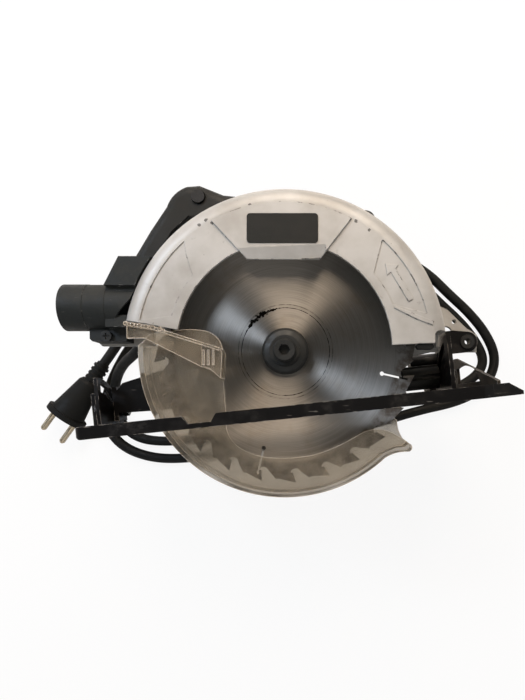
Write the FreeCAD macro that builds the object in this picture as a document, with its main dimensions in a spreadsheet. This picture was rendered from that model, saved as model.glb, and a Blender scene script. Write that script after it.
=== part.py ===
import FreeCAD, Part
import math
import os
import re
import types

import Sketcher
from FreeCAD import Placement, Rotation, Vector

# Corded circular saw with a 160 mm blade. Millimetres, +Z up.
# The saw stands on its motor: the origin is the middle of the motor end cap's flat face, +Z runs along
# the motor and spindle axes towards the blade, +X to the saw's front and +Y to its handle.
# Most pieces are drawn about the spindle axis, which lies spindle_drop below the motor axis.

values = {
    # drive
    "spindle_drop": 34,
    "motor_radius": 42,
    "motor_wall": 3,
    "cap_height": 12,
    "housing_top": 77,
    "gearcase_top": 110,
    "cover_top": 113.5,
    "gearcase_wall": 3.5,
    "gearcase_nose": 35,
    "lock_level": 92,
    "armature_shaft_radius": 4,
    "stator_bottom": 34,
    "stator_height": 34,
    "bearing_outer": 11,
    "bearing_width": 7,
    "spindle_radius": 6,
    "spindle_bearing_outer": 16,
    "gear_module": 1,
    "pinion_teeth": 10,
    "gear_teeth": 58,
    "gear_bottom": 96,
    "gear_width": 10,
    # blade
    "blade_radius": 80,
    "blade_thickness": 1.6,
    "tip_width": 2.4,
    "blade_bottom": 129.2,
    "blade_bore": 10,
    "blade_teeth": 24,
    "first_tooth": 4.6,
    # upper guard
    "guard_radius": 97,
    "guard_wall": 2.5,
    "guard_back": 113.5,
    "guard_front": 144,
    "guard_shoulder": 136,
    "face_radius": 87,
    "window_radius": 63.5,
    "guard_start": 2.5,
    "guard_end": 169.5,
    "pad_height": 1.2,
    # lower guard
    "shield_radius": 88,
    "shield_wall": 2.5,
    "shield_back": 119,
    "shield_front": 137,
    "nose_radius": 21,
    # base
    "pivot_x": 114,
    "pivot_y": 7.4,
    "base_tilt": 5.9,
    "sole_depth": 36.1,
    "base_thickness": 2,
    "base_rear": -237,
    "base_front": 22,
    "base_far": 30,
    "base_near": 155,
    "flange_height": 7.5,
    "fence_place": -9,
    "kerf_plane": 130,
    "bevel_slot_radius": 34,
    "quadrant_place": -16,
    "bracket_place": -13.2,
    "rear_slot_radius": 30.5,
    "link_radius": 170.6,
    "link_bottom": 109.8,
    "link_thickness": 3,
    # handle
    "handle_middle": 85,
    "handle_half": 17,
    "handle_wall": 3,
    # outlet, cord and plug
    "port_radius": 14.3,
    "port_wall": 2.2,
    "port_height": 27.7,
    "port_level": 125,
    "port_end": -136.2,
    "cord_radius": 4,
    "pin_radius": 2.4,
    "pin_gap": 19,
}

document = FreeCAD.newDocument("CircularSaw")
sheet = document.addObject("Spreadsheet::Sheet", "Sizes")
for row, (word, number) in enumerate(values.items(), start=1):
    sheet.set(f"A{row}", word)
    sheet.set(f"B{row}", str(number))
    sheet.setAlias(f"B{row}", word)
document.recompute()

size = types.SimpleNamespace(**values)
nodes = {}
upwards = Vector(0, 0, 1)
planes = {"flat": "XY_Plane", "side": "YZ_Plane", "front": "XZ_Plane"}


def linked(text):
    """Writes 'guard_back - 2' as the sheet's own cells: 'Sizes.guard_back - 2'."""
    return re.sub(r"[a-z][a-z_]+", lambda found: "Sizes." + found.group(), str(text))


def polar(radius, angle, middle=(0, 0)):
    turn = math.radians(angle)
    return (middle[0] + radius * math.cos(turn), middle[1] + radius * math.sin(turn))


def arc_to(radius, start, end, middle=(0, 0)):
    """One arc of an outline, as (point halfway, end point)."""
    return (*polar(radius, (start + end) / 2, middle), *polar(radius, end, middle))


def band(inner, outer, start, end, middle=(0, 0)):
    """The outline of a ring's sector."""
    return [
        polar(inner, start, middle),
        polar(outer, start, middle),
        arc_to(outer, start, end, middle),
        polar(inner, end, middle),
        arc_to(inner, end, start, middle),
    ]


def oblong(start, end, radius):
    """A slot's outline: round ends of one radius about two points."""
    lie = math.degrees(math.atan2(end[1] - start[1], end[0] - start[0]))
    return [
        polar(radius, lie - 90, start),
        polar(radius, lie - 90, end),
        arc_to(radius, lie - 90, lie + 90, end),
        polar(radius, lie + 90, start),
        arc_to(radius, lie + 90, lie + 270, start),
    ]


def box_outline(low_x, low_y, high_x, high_y):
    return [(low_x, low_y), (high_x, low_y), (high_x, high_y), (low_x, high_y)]


def belt_outline(nose, motor):
    """The outline round the spindle's circle and the motor's larger circle above it."""
    lean = math.degrees(math.asin((motor - nose) / size.spindle_drop))
    top = (0, size.spindle_drop)
    return [
        polar(nose, -lean),
        polar(motor, -lean, top),
        arc_to(motor, -lean, 180 + lean, top),
        polar(nose, 180 + lean),
        arc_to(nose, 180 + lean, 360 - lean),
    ]


def disc(x, y, radius):
    """A circle whose radius is a formula of the sheet's cells."""
    return ("disc", x, y, radius)


def outline_edges(points):
    """Lines and arcs through points: two numbers end a line, four give an arc's middle and end."""
    edges = []
    last = Vector(*points[0][-2:], 0)
    for point in points[1:] + [points[0][-2:]]:
        end = Vector(*point[-2:], 0)
        if end.distanceToPoint(last) > 1e-6:
            if len(point) == 4:
                edges.append(Part.Arc(last, Vector(*point[:2], 0), end))
            else:
                edges.append(Part.LineSegment(last, end))
        last = end
    return edges


def edge_curve(edge):
    """A trimmed line or arc out of one edge of a wire."""
    first, last = edge.ParameterRange
    ends = [edge.valueAt(first), edge.valueAt(last)]
    if isinstance(edge.Curve, Part.Line):
        return Part.LineSegment(*ends)
    return Part.Arc(ends[0], edge.valueAt((first + last) / 2), ends[1])


def inset_outline(points, wall):
    """The curves of an outline moved inwards by a wall's thickness."""
    wire = Part.Wire([curve.toShape() for curve in outline_edges(points)])
    return [edge_curve(edge) for edge in wire.makeOffset2D(-wall, 2).Edges]


class Piece:
    """A PartDesign body. Heights are formulas of the sheet's cells."""

    def __init__(self, label, x="0", y="-spindle_drop", z="0", turn=None, whole=True):
        self.body = document.addObject("PartDesign::Body", label)
        self.body.Label = label
        self.body.AllowCompound = True
        if turn:
            self.body.Placement = Placement(Vector(), turn)
        for axis, formula in zip("xyz", (x, y, z)):
            self.body.setExpression("Placement.Base." + axis, linked(formula))
        if whole:
            nodes[label] = self.body

    def sketch(self, shapes, height, plane="flat"):
        name = f"{self.body.Label}_sketch{len(self.body.Group)}"
        sketch = self.body.newObject("Sketcher::SketchObject", name)
        role = planes[plane]
        level = next(item for item in self.body.Origin.OriginFeatures if item.Role == role)
        sketch.AttachmentSupport = (level, "")
        sketch.MapMode = "FlatFace"
        sketch.setExpression("AttachmentOffset.Base.z", linked(height))
        for shape in shapes:
            if shape[0] == "disc":
                index = sketch.addGeometry(Part.Circle(Vector(*shape[1:3], 0), upwards, 1))
                rule = sketch.addConstraint(Sketcher.Constraint("Radius", index, 1.0))
                sketch.setExpression(f"Constraints[{rule}]", linked(shape[3]))
            elif isinstance(shape[0], tuple):
                sketch.addGeometry(outline_edges(shape))
            else:
                sketch.addGeometry(shape)
        return sketch

    def feature(self, kind, sketch, length):
        name = f"{self.body.Label}_{kind.lower()}{len(self.body.Group)}"
        feature = self.body.newObject("PartDesign::" + kind, name)
        feature.Profile = sketch
        feature.setExpression("Length", linked(length))
        sketch.Visibility = False
        return feature

    def pad(self, shapes, bottom, height, plane="flat"):
        """Adds a slab that stands on a height."""
        self.feature("Pad", self.sketch(shapes, bottom, plane), height)
        return self

    def pocket(self, shapes, top, depth, plane="flat"):
        """Cuts down from a height."""
        self.feature("Pocket", self.sketch(shapes, top, plane), depth)
        return self

    def turned(self, profile, angle="360", cut=False):
        """Adds or cuts a profile of (radius, height) points turned about the piece's own Z axis."""
        kind = "Groove" if cut else "Revolution"
        sketch = self.sketch([profile], 0, "front")
        name = f"{self.body.Label}_{kind.lower()}{len(self.body.Group)}"
        feature = self.body.newObject("PartDesign::" + kind, name)
        feature.Profile = sketch
        feature.ReferenceAxis = (sketch, ["V_Axis"])
        feature.setExpression("Angle", linked(angle))
        return self

    def repeat(self, count, angle=360):
        """Repeats the last feature round the piece's Z axis."""
        last = self.body.Tip
        pattern = self.body.newObject("PartDesign::PolarPattern", self.body.Label + "_pattern")
        pattern.Originals = [last]
        axis = next(item for item in self.body.Origin.OriginFeatures if item.Role == "Z_Axis")
        pattern.Axis = (axis, [""])
        pattern.Angle = angle
        pattern.Occurrences = count
        self.body.Tip = pattern
        return self

    def edges(self, chosen):
        document.recompute()
        found = []
        for index, edge in enumerate(self.body.Tip.Shape.Edges, start=1):
            if chosen(edge):
                found.append(f"Edge{index}")
        return found

    def dress(self, kind, amount, chosen):
        """Fillets or chamfers the edges that a test picks out."""
        found = self.edges(chosen)
        base = self.body.Tip
        feature = self.body.newObject("PartDesign::" + kind, f"{self.body.Label}_{kind.lower()}")
        feature.Base = (base, found)
        if kind == "Fillet":
            feature.Radius = amount
        else:
            feature.Size = amount
        return self


def level_edges(height):
    """A test for the edges that lie flat at one height."""
    return lambda edge: abs(edge.BoundBox.ZMin - height) + abs(edge.BoundBox.ZMax - height) < 1e-3


def rod(name, radius, length, x, y, z, along=upwards, keep=True):
    """A round bar whose first end stands at a point about the spindle axis."""
    bar = document.addObject("Part::Cylinder", name)
    bar.Label = name
    bar.setExpression("Radius", linked(radius))
    bar.setExpression("Height", linked(length))
    place(bar, x, y, z, Rotation(upwards, along))
    if keep:
        nodes[name] = bar
    return bar


def block(name, length, width, height, x, y, z):
    """A box whose low corner stands at a point about the spindle axis."""
    solid = document.addObject("Part::Box", name)
    for side, formula in zip(("Length", "Width", "Height"), (length, width, height)):
        solid.setExpression(side, linked(formula))
    place(solid, x, y, z, Rotation())
    return solid


def cone(name, first, second, length, x, y, z, along):
    solid = document.addObject("Part::Cone", name)
    solid.Label = name
    solid.setExpression("Radius1", linked(first))
    solid.setExpression("Radius2", linked(second))
    solid.setExpression("Height", linked(length))
    place(solid, x, y, z, Rotation(upwards, along))
    return solid


def place(solid, x, y, z, turn):
    solid.Placement = Placement(Vector(), turn)
    solid.setExpression("Placement.Base.x", linked(x))
    solid.setExpression("Placement.Base.y", linked(f"{y} - spindle_drop"))
    solid.setExpression("Placement.Base.z", linked(z))


def joined(label, pieces, keep=True):
    fusion = document.addObject("Part::MultiFuse", label)
    fusion.Label = label
    fusion.Shapes = pieces
    if keep:
        nodes[label] = fusion
    return fusion


def carved(label, base, tools, keep=True):
    cut = document.addObject("Part::Cut", label)
    cut.Label = label
    cut.Base = base
    cut.Tool = tools[0] if len(tools) == 1 else joined(label + "_tools", tools, keep=False)
    if keep:
        nodes[label] = cut
    return cut


def group(label, pieces):
    """Separate solids that share one node."""
    compound = document.addObject("Part::Compound", label)
    compound.Label = label
    compound.Links = [piece.body if isinstance(piece, Piece) else piece for piece in pieces]
    nodes[label] = compound
    return compound


def screw(name, x, y, z, length, radius, head, head_height, along=upwards, recess=True):
    """A pan-head screw: z is under the head, the shank runs back against the head's direction."""
    top = Vector(x, y, z)
    foot = top - along * length
    tip = top + along * head_height
    shank = rod(name + "_shank", radius, length, foot.x, foot.y, foot.z, along, keep=False)
    cap = rod(name + "_head", head, head_height, top.x, top.y, top.z, along, keep=False)
    whole = joined(name + "_blank", [shank, cap], keep=False)
    if not recess:
        return whole
    bottom = tip - along * (head_height * 0.5)
    bars = []
    for turn in (0, 90):
        bar = document.addObject("Part::Box", f"{name}_recess{turn}")
        bar.Length = head * 1.1
        bar.Width = head * 0.24
        bar.Height = head_height
        spin = Rotation(upwards, along).multiply(Rotation(upwards, turn))
        corner = Vector(-bar.Length.Value / 2, -bar.Width.Value / 2, 0)
        start = bottom + Vector(0, -size.spindle_drop, 0) + spin.multVec(corner)
        bar.Placement = Placement(start, spin)
        bars.append(bar)
    return carved(name, whole, bars, keep=False)


# ---- motor -------------------------------------------------------------------------------------------


def gear_points(teeth, phase, slack):
    """A spur gear's outline with involute flanks, thinned by a backlash angle."""
    pitch = size.gear_module * teeth / 2
    tip = pitch + 0.88 * size.gear_module
    root = pitch - 1.22 * size.gear_module
    base = pitch * math.cos(math.radians(20))
    start = max(base, root + 0.05)

    def involute(radius):
        ratio = max(radius / base, 1)
        lean = math.acos(1 / ratio)
        return math.degrees(math.tan(lean) - lean)

    half = 90 / teeth + involute(pitch) - slack
    flank = [start + (tip - start) * step / 3 for step in range(4)]
    points = []
    for tooth in range(teeth):
        middle = phase + 360 * tooth / teeth
        rising = [polar(radius, middle - half + involute(radius)) for radius in flank]
        falling = [polar(radius, middle + half - involute(radius)) for radius in reversed(flank)]
        points.append(polar(root, middle - half - slack))
        points += rising + falling
        points.append(polar(root, middle + half + slack))
    return points


def make_motor():
    cap = Piece("motor_end_cap", y="0")
    cap.pad([disc(0, 0, "motor_radius")], "0", "cap_height")
    cap.pocket([disc(0, 0, "motor_radius - motor_wall")], "cap_height", "cap_height - motor_wall")
    cap.dress("Chamfer", 3.9, level_edges(0))
    cap.pocket([band(16, 30, -9, 9)], "motor_wall", "motor_wall")
    cap.repeat(8)
    for angle in range(45, 360, 90):
        x, y = polar(35, angle)
        cap.pad([disc(x, y, "4.5")], "motor_wall", "cap_height - motor_wall")
        cap.pocket([disc(x, y, "2.1")], "cap_height", "cap_height")
        cap.pocket([disc(x, y, "3.7")], "1.4", "1.4")

    housing = Piece("motor_housing", y="0")
    housing.pad([disc(0, 0, "motor_radius")], "cap_height", "housing_top - cap_height")
    housing.pocket([disc(0, 0, "motor_radius - motor_wall")], "housing_top", "housing_top - 15")
    housing.pad([disc(0, 0, "bearing_outer + 2.5")], "cap_height", "bearing_width + 2.3")
    for angle in range(45, 360, 90):
        x, y = polar(35, angle)
        housing.pad([disc(x, y, "4.5")], "cap_height", "10")
        housing.pocket([disc(x, y, "2")], "cap_height + 10", "10")
    housing.pocket([disc(0, 0, "bearing_outer")], "cap_height + 10", "7.7")
    housing.pocket([disc(0, 0, "9")], "cap_height + 10", "10")
    housing.pocket([band(17, 29, -14, 14)], "cap_height + 4", "4")
    housing.repeat(8)
    housing.pocket([disc(0, 25.5, "8.2")], "60", "120", plane="side")
    housing.pocket([oblong((0, 60), (0, 71), 1.8)], "60", "120", plane="front")
    housing.repeat(7, 154)

    core = Piece("stator_core", y="0")
    core.pad([disc(0, 0, "motor_radius - 3.2"), disc(0, 0, "33.5")], "stator_bottom", "stator_height")
    for middle in (0, 180):
        core.pad([band(24.7, 33.6, middle - 34, middle + 34)], "stator_bottom", "stator_height")
    coils = []
    for name, middle in (("upper_coil", 90), ("lower_coil", 270)):
        coil = Piece(name, y="0", whole=False)
        coil.pad([band(26, 33, middle - 52, middle + 52)], "stator_bottom - 3", "stator_height + 6")
        coils.append(coil)
    group("field_windings", coils)

    shaft = Piece("armature_shaft", y="0")
    shaft.pad([disc(0, 0, "armature_shaft_radius")], "cap_height + 2.5", "gear_bottom - cap_height - 4.5")
    shaft.pad([disc(0, 0, "3.6")], "gear_bottom - 2", "gear_width + 4")
    tooth_phase = 180 / size.pinion_teeth - 90
    shaft.pad([gear_points(size.pinion_teeth, tooth_phase, 1.0)], "gear_bottom", "gear_width")
    core = Piece("armature_core", y="0")
    slots = []
    for slot in range(12):
        middle = slot * 30
        slots += [polar(24.2, middle + 4), arc_to(24.2, middle + 4, middle + 26)]
        slots += [polar(22.8, middle + 26), polar(22.8, middle + 34)]
    core.pad([slots, disc(0, 0, "armature_shaft_radius")], "stator_bottom", "stator_height")
    commutator = Piece("commutator", y="0")
    ring = [disc(0, 0, "12.5"), disc(0, 0, "armature_shaft_radius")]
    commutator.pad(ring, "21.8", "9.5")
    fan = Piece("cooling_fan", y="0")
    fan.pad([disc(0, 0, "34"), disc(0, 0, "armature_shaft_radius")], "stator_bottom + 37.6", "1.2")
    for blade in range(12):
        sweep = [polar(10, blade * 30), polar(33, blade * 30 - 18)]
        fan.pad([oblong(*sweep, 0.8)], "stator_bottom + 38.6", "3.4")

    rings = []
    for name, bottom in (("rear_bearing", "cap_height + 2.5"), ("front_bearing", "housing_top + 1.5")):
        ring = Piece(name, y="0", whole=False)
        circles = [disc(0, 0, "bearing_outer"), disc(0, 0, "armature_shaft_radius + 0.05")]
        ring.pad(circles, bottom, "bearing_width")
        rings.append(ring)
    group("motor_bearings", rings)

    holders, brushes, caps = [], [], []
    for name, side in (("front", 1), ("rear", -1)):
        low = 14 if side > 0 else -37
        outer = block(name + "_holder_outer", "23", "10", "9", low, "spindle_drop - 5", "21")
        inner = block(name + "_holder_inner", "25", "8.2", "6.9", low - 1, "spindle_drop - 4.1", "22.05")
        holders.append(carved(name + "_brush_holder", outer, [inner], keep=False))
        low = 12.85 if side > 0 else -30.85
        brushes.append(block(name + "_brush", "18", "8", "6.6", low, "spindle_drop - 4", "22.2"))
        outwards = Vector(side, 0, 0)
        head = rod(name + "_cap_disc", "7.9", "4.4", 38 * side, "spindle_drop", "25.5", outwards, False)
        slit_x = 41 if side > 0 else -43
        slit = block(name + "_cap_slit", "2", "20", "1.4", slit_x, "spindle_drop - 10", "24.8")
        caps.append(carved(name + "_brush_cap", head, [slit], keep=False))
    group("brush_holders", holders)
    group("carbon_brushes", brushes)
    group("brush_caps", caps)

    screws = []
    for number, angle in enumerate(range(45, 360, 90)):
        x, y = polar(35, angle, (0, size.spindle_drop))
        screws.append(screw(f"end_screw{number}", x, y, 1.4, 18, 1.9, 3.5, 1.2, Vector(0, 0, -1)))
    group("end_cap_screws", screws)


# ---- gear case and spindle ---------------------------------------------------------------------------

gear_lobe = size.motor_radius + 1
nose_lobe = size.gearcase_nose
cover_screw_places = [polar(29.5, angle) for angle in (200, 270, 340)]


def make_gearcase():
    outer = belt_outline(nose_lobe, gear_lobe)
    inner = belt_outline(nose_lobe - size.gearcase_wall, gear_lobe - size.gearcase_wall)
    case = Piece("gear_case")
    case.pad([outer], "housing_top", "gearcase_top - housing_top")
    case.pocket([inner], "gearcase_top", "gearcase_top - housing_top - 4")
    case.pad([disc(0, size.spindle_drop, "bearing_outer + 3")], "housing_top", "10")
    case.pad([disc(0, 0, "11.5")], "housing_top", "12")
    case.pocket([disc(0, size.spindle_drop, "bearing_outer")], "housing_top + 10", "8.5")
    case.pocket([disc(0, size.spindle_drop, "6")], "housing_top + 10", "10")
    case.pocket([disc(0, 0, "8")], "housing_top + 12", "8")
    case.pad([oblong((38.5, 0), (40, 0), 6)], "gearcase_top - 24", "12")
    case.pocket([disc(0, size.lock_level, "2.55")], "47", "17", plane="side")
    case.pocket([disc(0, size.lock_level, "4.4")], "47", "6", plane="side")

    cover = Piece("gear_cover")
    cover.pad([outer], "gearcase_top", "cover_top - gearcase_top")
    cover.pad([disc(0, 0, "nose_radius")], "cover_top", "13.5")
    cover.pocket([disc(0, 0, "spindle_bearing_outer")], "127", "11.5")
    cover.pocket([disc(0, 0, "13")], "127", "17")
    groove = [(20, 122), (22, 122), (22, 123.6), (20, 123.6)]
    cover.turned(groove, cut=True)
    for x, y in cover_screw_places:
        cover.pocket([disc(x, y, "1.7")], "cover_top", "cover_top - gearcase_top")

    spindle = Piece("spindle")
    spindle.pad([disc(0, 0, "spindle_radius")], "82", "53.4")
    spindle.pocket([disc(0, 0, "4")], "135.4", "22")
    for plane in ("side", "front"):
        spindle.pocket([disc(0, size.lock_level, "2.8")], "7", "14", plane=plane)
    gear = Piece("spindle_gear")
    outline = gear_points(size.gear_teeth, 90, 0.16)
    gear.pad([outline, disc(0, 0, "spindle_radius")], "gear_bottom", "gear_width")
    gear.pocket([disc(0, 0, "24"), disc(0, 0, "12")], "gear_bottom + gear_width", "2.5")

    rings = []
    for name, radius, bottom, width in (
        ("inner_spindle_bearing", "8", "82", "6.5"),
        ("outer_spindle_bearing", "spindle_bearing_outer", "115.5", "9.5"),
    ):
        ring = Piece(name, whole=False)
        ring.pad([disc(0, 0, radius), disc(0, 0, "spindle_radius + 0.05")], bottom, width)
        rings.append(ring)
    group("spindle_bearings", rings)

    lock = rod("lock_pin", "2.5", "43", "8.5", "0", "lock_level", Vector(1, 0, 0), keep=False)
    button = rod("lock_button", "5.5", "5", "51", "0", "lock_level", Vector(1, 0, 0), keep=False)
    joined("spindle_lock_pin", [lock, button])
    coil("spindle_lock_spring", 3.4, 0.5, 6, 1.45, Vector(41.7, 0, size.lock_level), Vector(1, 0, 0))

    screws = []
    for number, (x, y) in enumerate(cover_screw_places):
        screws.append(screw(f"guard_screw{number}", x, y, 116, 6, 1.7, 3.6, 2))
    group("guard_screws", screws)


def coil(label, radius, wire, turns, pitch, start, along):
    """A compression spring: a round wire swept along a helix."""
    helix = Part.makeHelix(pitch, pitch * turns, radius)
    first = helix.Edges[0]
    at = first.valueAt(first.FirstParameter)
    heading = first.tangentAt(first.FirstParameter)
    section = Part.Wire(Part.Circle(at, heading, wire).toShape())
    spring = document.addObject("Part::Feature", label)
    spring.Label = label
    spring.Shape = Part.Wire(helix.Edges).makePipeShell([section], True, True)
    place(spring, str(start.x), str(start.y), str(start.z), Rotation(upwards, along))
    nodes[label] = spring
    return spring


# ---- blade -------------------------------------------------------------------------------------------


def make_blade():
    pitch = 360 / size.blade_teeth
    outline = []
    tips = []
    for tooth in range(size.blade_teeth):
        angle = size.first_tooth + tooth * pitch
        radius = size.blade_radius
        outline += [
            polar(radius - 0.5, angle - 1.2),
            polar(radius - 6.2, angle - 2.2),
            (*polar(radius - 8.6, angle - 0.2), *polar(radius - 7.0, angle + 2.2)),
            polar(radius - 1.6, angle + 6.4),
            polar(radius - 2.6, angle + 6.9),
        ]
        corner = [polar(radius, angle), polar(radius - 6.2, angle - 1.1)]
        corner += [polar(radius - 6.2, angle - 2.2), polar(radius - 0.5, angle - 1.2)]
        tip = Piece(f"tip{tooth}", whole=False)
        tip.pad([corner], "kerf_plane - tip_width / 2", "tip_width")
        tips.append(tip)
    blade = Piece("blade")
    blade.pad([outline, disc(0, 0, "blade_bore")], "blade_bottom", "blade_thickness")
    slot_angles = [size.first_tooth + pitch * step - 2.4 for step in (5, 11, 17, 23)]
    for angle in slot_angles:
        blade.pocket([oblong(polar(60.4, angle), polar(76, angle), 0.6)], "132", "4")
        hole = polar(60.4, angle)
        blade.pocket([disc(*hole, "1.35")], "132", "4")
    group("carbide_tips", tips)

    inner = Piece("inner_flange")
    inner.turned([(6, 127.5), (17, 127.5), (18, 128.2), (18, 129.2), (10, 129.2), (10, 130.5), (6, 130.5)])
    outer = Piece("outer_flange")
    profile = [(6, 130.8), (14.1, 130.8), (14.1, 133.4), (12.6, 135), (9.6, 136.2), (6, 136.2)]
    outer.turned(profile)
    bolt = Piece("blade_bolt")
    bolt.pad([disc(0, 0, "3.95")], "114", "22.2")
    bolt.pad([disc(0, 0, "9")], "136.2", "1.6")
    bolt.pad([disc(0, 0, "6.8")], "137.8", "5")
    bolt.dress("Chamfer", 0.7, level_edges(142.8))
    hexagon = [polar(3.46, angle) for angle in range(0, 360, 60)]
    bolt.pocket([hexagon], "142.8", "4")


# ---- guards ------------------------------------------------------------------------------------------

port_screw = (-109.9, 9.6)


def make_upper_guard():
    guard = Piece("upper_guard")
    wall = size.guard_wall
    back, front, shoulder = size.guard_back, size.guard_front, size.guard_shoulder
    outside, face = size.guard_radius, size.face_radius
    profile = [
        (size.window_radius, front),
        (size.window_radius, front - wall),
        (face - 1, front - wall),
        (face + 4.4, front - wall - 2.2, outside - wall, shoulder - 0.6),
        (outside - wall, back + wall),
        (30, back + wall),
        (30, back),
        (outside, back),
        (outside, shoulder),
        (face + 6.4, front - 2.2, face, front),
    ]
    guard.turned(profile, "guard_end - guard_start")
    start = size.guard_start
    guard.body.Placement = Placement(Vector(0, 0, 0), Rotation(upwards, start))
    guard.body.setExpression("Placement.Base.y", linked("-spindle_drop"))

    def own(points):
        """Points about the spindle, in this body's own turned frame."""
        turned = []
        for point in points:
            pairs = [point[:2], point[2:]] if len(point) == 4 else [point]
            moved = []
            for x, y in pairs:
                moved += polar(math.hypot(x, y), math.degrees(math.atan2(y, x)) - start)
            turned.append(tuple(moved))
        return turned

    # the wall behind the blade carries on below the spindle, round the gear case's nose
    belt = [(-60, 0), (-34, -12), (*polar(36, 270), 34, -12), (92, 1.2), (92, 6), (-60, 14)]
    guard.pad([own(belt)], "guard_back", "guard_wall")
    # lug at the front for the depth pivot
    lug = [(90, 34), (102, 28.7), (113.7, 17.2), (121, 12.5), (121, 1.2), (107.6, 1.2), (105.6, 4.8)]
    lug += [(105.6, 13), (*polar(4.5, 90, (101.1, 13)), 96.6, 13), (96.6, 1.2), (90, 1.2)]
    guard.pad([own(lug)], "guard_back", "guard_wall")
    # ear at the rear for the dust port
    ear = [(-84, 22), (-84, 5), (-118, 5), (-121, 8), (-121, 14.5), (-95, 18)]
    guard.pad([own(ear)], "guard_back", "guard_wall")
    # raised pad, its lower edge carried across the window
    pad = [(-22, 53), (21, 53), (39.4, 76.6), (*polar(86.4, 91), *polar(86.4, 119.5))]
    guard.pad([own(pad)], "guard_front - guard_wall", "guard_wall + pad_height")
    slope = [(52.5, 143), (60.5, 145.3), (60.5, 147), (52.5, 147)]
    guard.pocket([slope], "27", "54", "side")
    pivot = (size.pivot_x, size.pivot_y)
    for hole, radius in ((pivot, "3.1"), ((106.5, 20.6), "1.4"), ((-56, 22), "3.1"), (port_screw, "1.6")):
        x, y = own([hole])[0]
        guard.pocket([disc(x, y, radius)], "guard_back + guard_wall", "guard_wall")
    x, y = own([(0, 0)])[0]
    guard.pocket([disc(x, y, "nose_radius + 0.5")], "guard_back + guard_wall", "guard_wall")
    for screw_place in cover_screw_places:
        x, y = own([screw_place])[0]
        guard.pocket([disc(x, y, "1.8")], "guard_back + guard_wall", "guard_wall")
    # rim cut away round the front quadrant
    notch = [(88.6, -2), (88.6, 8), (*polar(3.5, 135, (92.1, 8)), 92.1, 11.5), (99, 11.5), (99, -2)]
    guard.pocket([own(notch)], "guard_front + 1", "guard_front - 118")
    # way through the rim for the dust
    outlet = [(-130, 16), (-88, 16), (-74, 50), (-110, 50)]
    guard.pocket([own(outlet)], "guard_shoulder - 4", "15")

    # sunken panels on both sides of the face, with the turning arrow and a rib
    edge, inner = face - 0.6, size.window_radius + 5.5
    panel_left = [(-58.7, 63.4), (-57, 54), polar(inner, 141), arc_to(inner, 141, 163.5)]
    panel_left += [polar(edge, 168.6), arc_to(edge, 168.6, 132.8)]
    panel_right = [(57.3, 63.4), polar(edge, 47.9), arc_to(edge, 47.9, 14.2), polar(inner, 22.5)]
    panel_right += [arc_to(inner, 22.5, 40.5)]
    for panel in (panel_left, panel_right):
        guard.pocket([own(panel)], "guard_front", "0.6")
    arrow = [(59.3, 50.2), (66.8, 49.6), (65.3, 47.2), (75.6, 29.7), (72.9, 28.1), (62.5, 45.5), (60.4, 43.6)]
    guard.pad([own(arrow)], "guard_front - 0.8", "0.8")
    rib = [(64.3, 24.4), (66, 24.9), (87.6, 16.4), (87, 14.2), (77, 18)]
    guard.pad([own(rib)], "guard_front - 0.8", "1.4")

    plate = Piece("label_plate")
    corner = 2
    low_x, low_y, high_x, high_y = -21.7, 62, 19.9, 79.2
    rounded = [
        (low_x + corner, low_y),
        (high_x - corner, low_y),
        arc_to(corner, -90, 0, (high_x - corner, low_y + corner)),
        (high_x, high_y - corner),
        arc_to(corner, 0, 90, (high_x - corner, high_y - corner)),
        (low_x + corner, high_y),
        arc_to(corner, 90, 180, (low_x + corner, high_y - corner)),
        (low_x, low_y + corner),
        arc_to(corner, 180, 270, (low_x + corner, low_y + corner)),
    ]
    plate.pad([rounded], "guard_front + pad_height", "0.5")


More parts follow.
